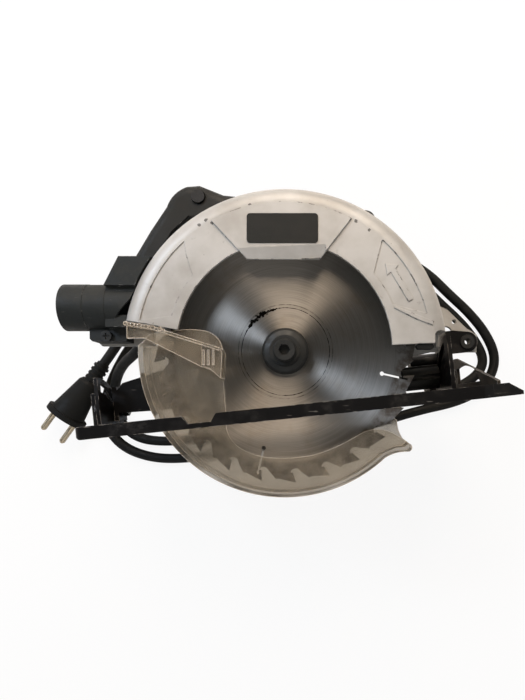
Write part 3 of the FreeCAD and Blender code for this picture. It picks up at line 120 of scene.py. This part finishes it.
# turn is the rounded normal's dot product with the flat one, where wear starts and where it is full
edgeWear = {"turn": (0.985, 0.86), "patch": (0.62, 0.7), "reach": 0.3, "samples": 6}


def linear(hexText):
    parts = [int(hexText[i:i + 2], 16) / 255 for i in (1, 3, 5)]
    return (*[c / 12.92 if c <= 0.04045 else ((c + 0.055) / 1.055) ** 2.4 for c in parts], 1)


def addNode(tree, kind, inputs=None, **settings):
    node = tree.nodes.new("ShaderNode" + kind)
    for name, value in settings.items():
        setattr(node, name, value)
    for name, value in (inputs or {}).items():
        if isinstance(value, bpy.types.NodeSocket):
            tree.links.new(value, node.inputs[name])
        else:
            node.inputs[name].default_value = value
    return node


def newMaterial(name):
    material = bpy.data.materials.new(name)
    material.use_nodes = True
    tree = material.node_tree
    shader = tree.nodes["Principled BSDF"]
    point = addNode(tree, "TexCoord").outputs["Object"]
    return material, tree, shader, point


def grainNoise(tree, point, size, detail=3, roughness=0.6, stretch=None):
    if stretch:
        point = addNode(tree, "Mapping", {"Vector": point, "Scale": stretch}).outputs["Vector"]
    return addNode(tree, "TexNoise", {"Vector": point, "Scale": 1 / (size * mm), "Detail": detail,
                                      "Roughness": roughness}).outputs["Fac"]


def between(tree, value, low, high, outLow=0, outHigh=1):
    return addNode(tree, "MapRange", {"Value": value, "From Min": low, "From Max": high, "To Min": outLow,
                                      "To Max": outHigh}, interpolation_type="SMOOTHSTEP").outputs["Result"]


def calc(tree, operation, first, second=0.5, third=None):
    node = addNode(tree, "Math", {0: first, 1: second}, operation=operation)
    if third is not None:
        node.inputs[2].default_value = third
    return node.outputs[0]


def dot(tree, first, second):
    return addNode(tree, "VectorMath", {0: first, 1: second}, operation="DOT_PRODUCT").outputs["Value"]


def mixColour(tree, amount, first, second):
    # sockets 6, 7 and 2 are the Mix node's two colours and its result
    node = addNode(tree, "Mix", {0: amount}, data_type="RGBA")
    for index, colour in ((6, first), (7, second)):
        if isinstance(colour, bpy.types.NodeSocket):
            tree.links.new(colour, node.inputs[index])
        else:
            node.inputs[index].default_value = linear(colour)
    return node.outputs[2]


def tint(tree, noise, colour, tone, low, high, most=1, least=0):
    # lays the tone over the colour as the noise goes from low to high
    return mixColour(tree, between(tree, noise, low, high, least, most), colour, tone)


def roundedNormal(tree, width, samples):
    return addNode(tree, "Bevel", {"Radius": width * mm}, samples=samples).outputs["Normal"]


def wornEdges(tree, point, width, patchSize, bare):
    # 1 on rubbed edges, broken up by patches; bare is how much of the edge is rubbed
    soft = roundedNormal(tree, width, edgeWear["samples"])
    flat = addNode(tree, "NewGeometry").outputs["Normal"]
    edge = between(tree, dot(tree, soft, flat), *edgeWear["turn"])
    low, high = (limit - bare * edgeWear["reach"] for limit in edgeWear["patch"])
    patches = between(tree, grainNoise(tree, point, patchSize), low, high)
    return calc(tree, "MULTIPLY", edge, patches)


def setNormal(tree, shader, height, depth, edgeRadius=0.35):
    # height is drawn depth mm deep; edges look rounded by edgeRadius mm
    soft = roundedNormal(tree, edgeRadius, 4)
    bump = addNode(tree, "Bump", {"Height": height, "Distance": depth * mm, "Strength": 1, "Normal": soft})
    tree.links.new(bump.outputs["Normal"], shader.inputs["Normal"])


def setShader(tree, shader, colour, roughness, **values):
    for name, value in (("Base Color", colour), ("Roughness", roughness), *values.items()):
        name = name.replace("_", " ")
        if isinstance(value, bpy.types.NodeSocket):
            tree.links.new(value, shader.inputs[name])
        else:
            shader.inputs[name].default_value = linear(value) if isinstance(value, str) else value


alloyFinish = {
    "coat": "#B4B3AF",
    "cloudSize": 38, "clouds": {"tone": "#9E9B95", "low": 0.35, "high": 0.7},
    "flakeSize": 0.35, "flakes": {"tone": "#8E8C88", "low": 0.55, "high": 0.75, "most": 0.16},
    "scuffSize": 5, "scuffs": {"tone": "#77736B", "low": 0.66, "high": 0.72, "most": 0.3},
    "speckSize": 2.2, "specks": {"tone": "#6A665F", "low": 0.71, "high": 0.74, "most": 0.7},
    "bare": "#2A2521", "chips": {"width": 1.1, "patchSize": 6, "bare": 0.3},
    "knockLevel": 144, "knockReach": 2.1, "knockDark": 0.8, "jagSize": 1.1, "jagDepth": 2.2,
    "knocks": [(42.1, 41.2), (49.7, 35.9), (-20, 50.5), (-49.9, 38.8), (-45.8, 41.7), (-42.2, 40),
               (-33.5, 32.4)],
    "gloss": (0.4, 0.52), "metallic": 0.2, "grainDepth": 0.03, "edgeRadius": 0.5,
}


def makeCoatedAlloy(finish):
    # metallic coating on die-cast aluminium: fine sparkle, rubbed and chipped along its edges
    material, tree, shader, point = newMaterial("metallicCoatedAlloy")
    clouds = grainNoise(tree, point, finish["cloudSize"], detail=4)
    flakes = grainNoise(tree, point, finish["flakeSize"], detail=2)
    specks = grainNoise(tree, point, finish["speckSize"], detail=5)
    scuffs = grainNoise(tree, point, finish["scuffSize"], detail=5, stretch=(1, 1, 0.4))
    colour = tint(tree, clouds, finish["coat"], **finish["clouds"])
    colour = tint(tree, flakes, colour, **finish["flakes"])
    colour = tint(tree, scuffs, colour, **finish["scuffs"])
    colour = tint(tree, specks, colour, **finish["specks"])
    colour = mixColour(tree, wornEdges(tree, point, **finish["chips"]), colour, finish["bare"])
    # knocks by the pad's corners and on the left of the arch, down to dark metal
    jags = grainNoise(tree, point, finish["jagSize"], detail=4)
    jagged = calc(tree, "MULTIPLY", jags, finish["jagDepth"] * mm)
    for place in finish["knocks"]:
        middle = tuple(part * mm for part in (*place, finish["knockLevel"]))
        away = addNode(tree, "VectorMath", {0: point, 1: middle}, operation="DISTANCE").outputs["Value"]
        knock = calc(tree, "LESS_THAN", calc(tree, "ADD", away, jagged), finish["knockReach"] * mm)
        colour = mixColour(tree, calc(tree, "MULTIPLY", knock, finish["knockDark"]), colour, finish["bare"])
    rough = between(tree, flakes, 0.3, 0.7, *finish["gloss"])
    setShader(tree, shader, colour, rough, Metallic=finish["metallic"])
    setNormal(tree, shader, flakes, finish["grainDepth"], finish["edgeRadius"])
    return material


plasticWear = {
    "cloudSize": 18, "clouds": {"low": 0.48, "high": 0.72, "least": 0.04},
    "grainDust": {"low": 0.5, "high": 0.75, "most": 0.12}, "grainDepth": 0.06,
    "scratchSize": 1.2, "scratches": {"tone": "#6E6C68", "low": 0.7, "high": 0.76, "most": 0.25},
    "rubbed": "#6F706E", "rubbedEdge": {"width": 0.8, "patchSize": 5},
    "dulling": 0.22, "specular": 0.28,
}


def makeMouldedPlastic(name, base, dust, dusty, grain=0.5, gloss=0.5, edge=0.2):
    # glass-filled nylon with a spark-eroded grain: matt, greyish dust in the grain, edges rubbed paler
    wear = plasticWear
    material, tree, shader, point = newMaterial(name)
    fine = grainNoise(tree, point, grain)
    clouds = grainNoise(tree, point, wear["cloudSize"], detail=5, roughness=0.65)
    scratches = grainNoise(tree, point, wear["scratchSize"], detail=2, stretch=(0.12, 1, 1))
    colour = tint(tree, clouds, base, dust, most=dusty, **wear["clouds"])
    colour = tint(tree, fine, colour, dust, **wear["grainDust"])
    colour = tint(tree, scratches, colour, **wear["scratches"])
    colour = mixColour(tree, wornEdges(tree, point, bare=edge, **wear["rubbedEdge"]), colour, wear["rubbed"])
    rough = between(tree, clouds, 0.35, 0.7, gloss, gloss + wear["dulling"])
    setShader(tree, shader, colour, rough, Specular_IOR_Level=wear["specular"])
    setNormal(tree, shader, fine, wear["grainDepth"])
    return material


enamelWear = {
    "peelSize": 1.6, "peelDepth": 0.04, "edgeRadius": 0.3,
    "cloudSize": 16, "clouds": (0.45, 0.75), "fineSize": 0.8, "fine": (0.35, 0.6),
    "scratchSize": 0.9, "scratches": {"tone": "#7A7670", "low": 0.7, "high": 0.75, "most": 0.45},
    "rubbed": "#8B8781", "rubbedEdge": {"width": 0.7, "patchSize": 7, "bare": 0.4},
    "dustyGloss": 0.7, "specular": 0.3,
}


def makeEnamelledSteel(name, base, dust, dusty, gloss=0.32):
    # black stove enamel on pressed steel: half gloss, sawdust and resin in patches, bright rubbed edges
    wear = enamelWear
    material, tree, shader, point = newMaterial(name)
    peel = grainNoise(tree, point, wear["peelSize"], detail=2)
    clouds = grainNoise(tree, point, wear["cloudSize"], detail=6, roughness=0.7)
    fine = grainNoise(tree, point, wear["fineSize"])
    scratches = grainNoise(tree, point, wear["scratchSize"], detail=2, stretch=(0.08, 0.8, 0.8))
    layer = calc(tree, "MULTIPLY", between(tree, clouds, *wear["clouds"]), between(tree, fine, *wear["fine"]))
    colour = mixColour(tree, calc(tree, "MULTIPLY", layer, dusty), base, dust)
    colour = tint(tree, scratches, colour, **wear["scratches"])
    colour = mixColour(tree, wornEdges(tree, point, **wear["rubbedEdge"]), colour, wear["rubbed"])
    rough = between(tree, layer, 0, 0.7, gloss, wear["dustyGloss"])
    setShader(tree, shader, colour, rough, Specular_IOR_Level=wear["specular"])
    setNormal(tree, shader, peel, wear["peelDepth"], wear["edgeRadius"])
    return material


metalWear = {
    "grime": "#3A342C", "cloudSize": 7, "clouds": {"low": 0.48, "high": 0.72},
    "dulling": 0.25, "lineDepth": 0.02, "edgeRadius": 0.25,
}


def makeTurnedMetal(name, base, gloss, dirty=0.3, lineSize=1, metallic=1, turned=True):
    # turned or drawn bright metal: fine tool lines, dulled in patches by grease
    wear = metalWear
    material, tree, shader, point = newMaterial(name)
    lines = grainNoise(tree, point, lineSize, detail=2, stretch=(1, 1, 12) if turned else (1, 1, 1))
    clouds = grainNoise(tree, point, wear["cloudSize"], detail=5)
    colour = tint(tree, clouds, base, wear["grime"], most=dirty, **wear["clouds"])
    rough = between(tree, clouds, 0.35, 0.7, gloss, gloss + wear["dulling"])
    setShader(tree, shader, colour, rough, Metallic=metallic)
    setNormal(tree, shader, lines, wear["lineDepth"], wear["edgeRadius"])
    return material


bladeFinish = {
    "steel": "#96928B", "ringStep": 0.35, "ringsRound": 1.2, "ringDepth": 0.004,
    "rings": {"tone": "#706C66", "low": 0.3, "high": 0.7, "most": 0.4},
    "bandsPerMetre": 350, "bandsRound": 0.9,
    "bands": {"tone": "#989289", "low": 0.45, "high": 0.7, "most": 0.2},
    "cloudSize": 20, "clouds": {"tone": "#7A6A57", "low": 0.5, "high": 0.75, "most": 0.3},
    # darker brown tone laid in patches over the blade's outer band, radii in mm from the spindle
    "outerBrown": "#52463A", "outerBrownFrom": 66, "outerBrownFull": 69.5, "outerBrownPatch": 6, "outerBrownDulling": 0.18,
    "ringLine": "#2B2622", "ringLineRadius": 28.8, "ringLineWidth": 0.3, "ringLineBreaks": 3,
    "smear": "#0B0907", "smearRadius": 26.8, "smearWidth": 1.4, "smearDulling": 0.4,
    "smearMiddle": 2.2, "smearEnd": 0.56, "smearFull": 0.1,  # radians round the spindle
    "smearJag": 0.4, "tearSize": 1.6, "tears": (0.36, 0.6, 0.15, 1.25),
    "gloss": (0.42, 0.54), "anisotropy": 1, "quarterTurn": 0.25,
}


def polarPoint(tree, point):
    # distance from the spindle and angle round it, for a piece that turns on the spindle
    offset = addNode(tree, "VectorMath", {0: point, 1: -spindle * mm}, operation="ADD").outputs["Vector"]
    parts = addNode(tree, "SeparateXYZ", {"Vector": offset})
    flat = addNode(tree, "CombineXYZ", {"X": parts.outputs["X"], "Y": parts.outputs["Y"]}).outputs["Vector"]
    radius = addNode(tree, "VectorMath", {0: flat}, operation="LENGTH").outputs["Value"]
    angle = calc(tree, "ARCTAN2", parts.outputs["Y"], parts.outputs["X"])
    return radius, angle


def ringNoise(tree, radius, angle, perMetre, perRadian, detail):
    # noise drawn out in rings round the spindle
    across = calc(tree, "MULTIPLY", radius, perMetre)
    around = calc(tree, "MULTIPLY", angle, perRadian)
    along = addNode(tree, "CombineXYZ", {"X": across, "Y": around}).outputs["Vector"]
    return addNode(tree, "TexNoise", {"Vector": along, "Scale": 1, "Detail": detail}).outputs["Fac"]


def makeSawBlade(finish):
    # cold-rolled tool steel ground in rings: anisotropic sheen, darker brown in patches near the teeth
    material, tree, shader, point = newMaterial("ringGroundSteel")
    radius, angle = polarPoint(tree, point)
    rings = ringNoise(tree, radius, angle, 1 / (finish["ringStep"] * mm), finish["ringsRound"], 3)
    bands = ringNoise(tree, radius, angle, finish["bandsPerMetre"], finish["bandsRound"], 2)
    clouds = grainNoise(tree, point, finish["cloudSize"], detail=5)
    colour = tint(tree, rings, finish["steel"], **finish["rings"])
    colour = tint(tree, bands, colour, **finish["bands"])
    colour = tint(tree, clouds, colour, **finish["clouds"])
    # darker brown in patches over the outer band, from 66 mm out from the spindle to the teeth
    rim = between(tree, radius, finish["outerBrownFrom"] * mm, finish["outerBrownFull"] * mm)
    patchy = between(tree, grainNoise(tree, point, finish["outerBrownPatch"], detail=5), 0.35, 0.65, 0.15, 0.85)
    colour = mixColour(tree, calc(tree, "MULTIPLY", rim, patchy), colour, finish["outerBrown"])
    # thin dark line where a flange has worn a ring, broken in places
    line = calc(tree, "COMPARE", radius, finish["ringLineRadius"] * mm, finish["ringLineWidth"] * mm)
    broken = between(tree, grainNoise(tree, point, finish["ringLineBreaks"]), 0.35, 0.6, 0.1, 0.55)
    colour = mixColour(tree, calc(tree, "MULTIPLY", line, broken), colour, finish["ringLine"])
    # torn smear of burnt resin along part of that line
    turned = calc(tree, "ABSOLUTE", calc(tree, "SUBTRACT", angle, finish["smearMiddle"]))
    smearAt = between(tree, turned, finish["smearEnd"], finish["smearFull"])
    torn = between(tree, grainNoise(tree, point, finish["tearSize"], detail=5), *finish["tears"])
    width = calc(tree, "MULTIPLY", calc(tree, "MULTIPLY", smearAt, torn), finish["smearWidth"] * mm)
    away = calc(tree, "ABSOLUTE", calc(tree, "SUBTRACT", radius, finish["smearRadius"] * mm))
    jagged = calc(tree, "MULTIPLY", broken, -finish["smearJag"] * mm)
    smear = calc(tree, "LESS_THAN", calc(tree, "ADD", away, jagged), width)
    colour = mixColour(tree, smear, colour, finish["smear"])
    rough = calc(tree, "ADD", between(tree, rings, 0.3, 0.7, *finish["gloss"]),
                 calc(tree, "MULTIPLY", rim, finish["outerBrownDulling"]))
    rough = calc(tree, "ADD", rough, calc(tree, "MULTIPLY", smear, finish["smearDulling"]))
    tangent = addNode(tree, "Tangent", direction_type="RADIAL", axis="Z").outputs["Tangent"]
    setShader(tree, shader, colour, rough, Metallic=1, Anisotropic=finish["anisotropy"],
              Anisotropic_Rotation=finish["quarterTurn"], Tangent=tangent)
    bump = addNode(tree, "Bump", {"Height": rings, "Distance": finish["ringDepth"] * mm})
    tree.links.new(bump.outputs["Normal"], shader.inputs["Normal"])
    return material


clearFinish = {
    # edge and the two edge entries at the end draw a painted highlight along the cut edges
    "tint": "#EAE3D8", "dust": "#B5A994", "edge": "#F2E6D6", "index": 1.585, "gloss": (0.04, 0.16),
    "cloudSize": 14, "haze": (0.17, 0.51), "dustCover": 0.5,
    "scratchSize": 0.7, "scratches": (0.68, 0.76, 0, 0.5),
    "edgeWidth": 0.7, "paintedEdgeHighlight": (0.98, 0.85, 0, 0.8),
}


def makeClearPlastic(finish):
    # injection-moulded polycarbonate: clear and a little warm, hazed by dust and fine scratches
    material, tree, shader, point = newMaterial("clearPolycarbonate")
    clouds = grainNoise(tree, point, finish["cloudSize"], detail=5)
    scratches = grainNoise(tree, point, finish["scratchSize"], detail=2, stretch=(0.1, 1, 1))
    marks = between(tree, scratches, *finish["scratches"])
    hazed = calc(tree, "ADD", between(tree, clouds, 0.35, 0.75, *finish["haze"]), marks)
    rough = between(tree, clouds, 0.35, 0.7, *finish["gloss"])
    setShader(tree, shader, finish["tint"], rough, IOR=finish["index"], Transmission_Weight=1)
    dust = addNode(tree, "BsdfDiffuse", {"Color": linear(finish["dust"])})
    cover = calc(tree, "MULTIPLY", hazed, finish["dustCover"])
    dulled = addNode(tree, "MixShader", {0: cover, 1: shader.outputs[0], 2: dust.outputs[0]})
    # painted highlight: cut edges are drawn in a pale diffuse tone, standing in for the light they carry
    soft = roundedNormal(tree, finish["edgeWidth"], edgeWear["samples"])
    flat = addNode(tree, "NewGeometry").outputs["Normal"]
    edge = between(tree, dot(tree, soft, flat), *finish["paintedEdgeHighlight"])
    glow = addNode(tree, "BsdfDiffuse", {"Color": linear(finish["edge"])})
    mix = addNode(tree, "MixShader", {0: edge, 1: dulled.outputs[0], 2: glow.outputs[0]})
    tree.links.new(mix.outputs[0], tree.nodes["Material Output"].inputs["Surface"])
    tree.links.new(soft, shader.inputs["Normal"])
    return material


rubberWear = {
    "cloudSize": 9, "clouds": {"low": 0.45, "high": 0.75, "most": 0.3, "least": 0.02},
    "grainSize": 0.5, "grainDepth": 0.03, "dulling": 0.2, "specular": 0.2,
}


def makeRubber(name, base, dust, gloss=0.5):
    # vulcanised rubber jacket: satin black with handling dust
    wear = rubberWear
    material, tree, shader, point = newMaterial(name)
    clouds = grainNoise(tree, point, wear["cloudSize"], detail=5)
    fine = grainNoise(tree, point, wear["grainSize"], detail=2)
    colour = tint(tree, clouds, base, dust, **wear["clouds"])
    rough = between(tree, clouds, 0.3, 0.7, gloss, gloss + wear["dulling"])
    setShader(tree, shader, colour, rough, Specular_IOR_Level=wear["specular"])
    setNormal(tree, shader, fine, wear["grainDepth"])
    return material


def makeStriped(name, first, second, step, metallic, gloss, direction=(0, 0, 1)):
    # stacked laminations, windings or segments: even stripes of two tones, step mm apart
    material, tree, shader, point = newMaterial(name)
    turn = calc(tree, "FRACT", calc(tree, "MULTIPLY", dot(tree, point, direction), 1 / (step * mm)))
    ridge = calc(tree, "PINGPONG", turn, 0.5)
    colour = tint(tree, ridge, second, first, 0.08, 0.3)
    setShader(tree, shader, colour, gloss, Metallic=metallic)
    setNormal(tree, shader, ridge, step * 0.3, 0.2)
    return material


filmWear = {
    "cloudSize": 6, "clouds": {"low": 0.5, "high": 0.75, "most": 0.25},
    "scratchSize": 0.6, "scratches": {"low": 0.7, "high": 0.76, "most": 0.35}, "scratchDepth": 0.01,
    "dulling": 0.2, "specular": 0.25, "edgeRadius": 0.2,
}


def makeFilm(name, base, mark, gloss):
    # plain film bonded to a plate: smooth and dark, with rubbed marks
    wear = filmWear
    material, tree, shader, point = newMaterial(name)
    clouds = grainNoise(tree, point, wear["cloudSize"], detail=5)
    scratches = grainNoise(tree, point, wear["scratchSize"], detail=2, stretch=(0.15, 1, 1))
    colour = tint(tree, clouds, base, mark, **wear["clouds"])
    colour = tint(tree, scratches, colour, mark, **wear["scratches"])
    rough = between(tree, clouds, 0.4, 0.7, gloss, gloss + wear["dulling"])
    setShader(tree, shader, colour, rough, Specular_IOR_Level=wear["specular"])
    setNormal(tree, shader, scratches, wear["scratchDepth"], wear["edgeRadius"])
    return material


coatedAlloy = makeCoatedAlloy(alloyFinish)
mouldedNylon = makeMouldedPlastic("mouldedNylon", "#131411", "#403E39", 0.18)
portNylon = makeMouldedPlastic("dustyNylon", "#171B1B", "#4A4943", 0.25, edge=0.25)
buttonAbs = makeMouldedPlastic("smoothAbs", "#0E0F10", "#3A3834", 0.15, grain=0.9, gloss=0.35)
sheetEnamel = makeEnamelledSteel("blackEnamelledSteel", "#080707", "#2E2A24", 0.35)
dustyEnamel = makeEnamelledSteel("dustyEnamelledSteel", "#1C1813", "#6E6455", 0.85, gloss=0.55)
blackedSteel = makeTurnedMetal("blackenedSteel", "#2C2D2C", 0.42, dirty=0.2, metallic=0.6)
zincSteel = makeTurnedMetal("zincPlatedSteel", "#9C9A95", 0.3)
springSteel = makeTurnedMetal("springSteel", "#6E6C69", 0.32, turned=False)
castAlloy = makeTurnedMetal("castAluminium", "#A3A19D", 0.5, lineSize=2.4, turned=False)
carbideMetal = makeTurnedMetal("groundCarbide", "#5E5B57", 0.38, dirty=0.5, turned=False)
nickelBrass = makeTurnedMetal("nickelPlatedBrass", "#B0A48E", 0.25, dirty=0.15, turned=False)
bladeSteel = makeSawBlade(bladeFinish)
clearPlastic = makeClearPlastic(clearFinish)
jacketRubber = makeRubber("jacketRubber", "#0D0E0D", "#2A2926")
plugRubber = makeRubber("plugRubber", "#080907", "#22211E", gloss=0.55)
laminations = makeStriped("steelLaminations", "#5C5A57", "#2E2C2A", 1, 1, 0.4)
copperWire = makeStriped("enamelledCopper", "#A8643A", "#4A2A18", 0.8, 0.8, 0.3)
copperSegments = makeStriped("commutatorCopper", "#B0714A", "#3A2A20", 2.4, 0.9, 0.3, direction=(1, 0, 0))
carbonBlock = makeMouldedPlastic("pressedCarbon", "#1B1B1C", "#3A3A3A", 0.2, grain=0.4)
darkFilm = makeFilm("darkFilm", "#161714", "#33332E", 0.5)

cadFinishes = {
    coatedAlloy: ["upper_guard"],
    mouldedNylon: ["motor_end_cap", "motor_housing", "cooling_fan", "brush_caps", "front_handle",
                   "handle_half_motor_side", "handle_half_blade_side", "switch_body", "depth_lever",
                   "front_bevel_knob"],
    portNylon: ["dust_port"],
    buttonAbs: ["trigger", "lock_off_button"],
    castAlloy: ["gear_case", "gear_cover"],
    laminations: ["stator_core", "armature_core"],
    copperWire: ["field_windings"],
    copperSegments: ["commutator"],
    nickelBrass: ["brush_holders", "plug_pins"],
    carbonBlock: ["carbon_brushes"],
    zincSteel: ["armature_shaft", "motor_bearings", "end_cap_screws", "spindle", "spindle_gear",
                "spindle_bearings", "spindle_lock_pin", "guard_screws", "guard_retaining_ring", "bevel_nuts",
                "depth_bolt", "handle_screws", "trigger_pin"],
    springSteel: ["spindle_lock_spring", "guard_return_spring", "trigger_spring"],
    bladeSteel: ["blade"],
    carbideMetal: ["carbide_tips"],
    blackedSteel: ["inner_flange", "outer_flange", "blade_bolt", "dust_port_screw", "front_pivot_rivet"],
    sheetEnamel: ["base_plate", "front_quadrant", "rear_quadrant", "front_bracket", "depth_link",
                  "rear_bevel_knob", "fence_screw"],
    dustyEnamel: ["bevel_scale_plate"],
    darkFilm: ["label_plate"],
    clearPlastic: ["lower_guard"],
    jacketRubber: ["rubber_bumper", "cord_gland", "cord"],
    plugRubber: ["plug_body"],
}
for material, names in cadFinishes.items():
    for name in names:
        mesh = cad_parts[name].data
        for index in range(len(mesh.materials)):
            mesh.materials[index] = material
print("materials on", sum(len(names) for names in cadFinishes.values()), "nodes")

makeCord(jacketRubber)
print("cord laid")


# ---- floor, backdrop and soft studio light

studio = {
    "floor": "#F4F3F1",
    "floorLevel": -0.6,  # mm
    "floorHalf": 4,  # m from its middle to its edge
    "floorGlow": 0.9,  # share of its own even brightness, as seen by the camera
    # behind clear plastic the backdrop is drawn dimmer, as painted shade for the floor under the saw
    "through": 0.5,  # brightness of floor and backdrop behind clear plastic
    "ambient": 0.5,
    "sky": (0.2, 0.95, 1, 0.25),  # from full near the horizon to faint overhead
    "lampTarget": (0, -0.02, 0.1),
    "lamps": [  # place in m, size in m, power in W, colour
        ((0.05, 0.74, 0.78), 0.72, 11.5, "#FFEBD6"),
        ((-0.8, 0.5, 0.9), 0.26, 7.2, "#DCEAFF"),
        ((0.1, -0.95, 1.3), 1.2, 5, "#F6F0EC"),
    ],
}


def backdropRays(tree):
    # 1 where the backdrop is seen, straight or through clear plastic, and how bright it is there; behind
    # clear plastic it is dimmed as painted shade for the floor under the saw
    rays = addNode(tree, "LightPath").outputs
    seen = calc(tree, "MAXIMUM", rays["Is Camera Ray"], rays["Is Transmission Ray"])
    strength = between(tree, rays["Is Camera Ray"], 0, 1, studio["through"], 1)
    return seen, strength


def paleFloor():
    material = bpy.data.materials.new("paleFloor")
    material.use_nodes = True
    tree = material.node_tree
    tree.nodes.clear()
    matt = addNode(tree, "BsdfDiffuse", {"Color": linear(studio["floor"])})
    seen, strength = backdropRays(tree)
    bright = addNode(tree, "Emission", {"Color": (1, 1, 1, 1), "Strength": strength})
    share = calc(tree, "MULTIPLY", seen, studio["floorGlow"])
    mix = addNode(tree, "MixShader", {0: share, 1: matt.outputs[0], 2: bright.outputs[0]})
    addNode(tree, "OutputMaterial", {"Surface": mix.outputs[0]})
    return material


floorMesh = bpy.data.meshes.new("floor")
shape = bmesh.new()
bmesh.ops.create_grid(shape, x_segments=1, y_segments=1, size=studio["floorHalf"])
shape.to_mesh(floorMesh)
shape.free()
floorMesh.materials.append(paleFloor())
floor = bpy.data.objects.new("floor", floorMesh)
floor.location.z = studio["floorLevel"] * mm
scene.collection.objects.link(floor)

for number, (place, width, power, colour) in enumerate(studio["lamps"]):
    lampData = bpy.data.lights.new(f"lamp{number}", "AREA")
    lampData.size = width
    lampData.energy = power
    lampData.color = linear(colour)[:3]
    lamp = bpy.data.objects.new(f"lamp{number}", lampData)
    lamp.location = place
    lamp.rotation_euler = (Vector(studio["lampTarget"]) - lamp.location).to_track_quat("-Z", "Y").to_euler()
    scene.collection.objects.link(lamp)

world = bpy.data.worlds.new("studio")
world.use_nodes = True
scene.world = world
tree = world.node_tree
tree.nodes.clear()
seen, strength = backdropRays(tree)
direction = addNode(tree, "TexCoord").outputs["Generated"]
height = addNode(tree, "SeparateXYZ", {"Vector": direction}).outputs["Z"]
sky = calc(tree, "MULTIPLY", between(tree, height, *studio["sky"]), studio["ambient"])
glow = addNode(tree, "Background", {"Color": (1, 1, 1, 1), "Strength": sky})
white = addNode(tree, "Background", {"Color": (1, 1, 1, 1), "Strength": strength})
mix = addNode(tree, "MixShader", {0: seen, 1: glow.outputs[0], 2: white.outputs[0]})
addNode(tree, "OutputWorld", {"Surface": mix.outputs[0]})
print("studio lit")
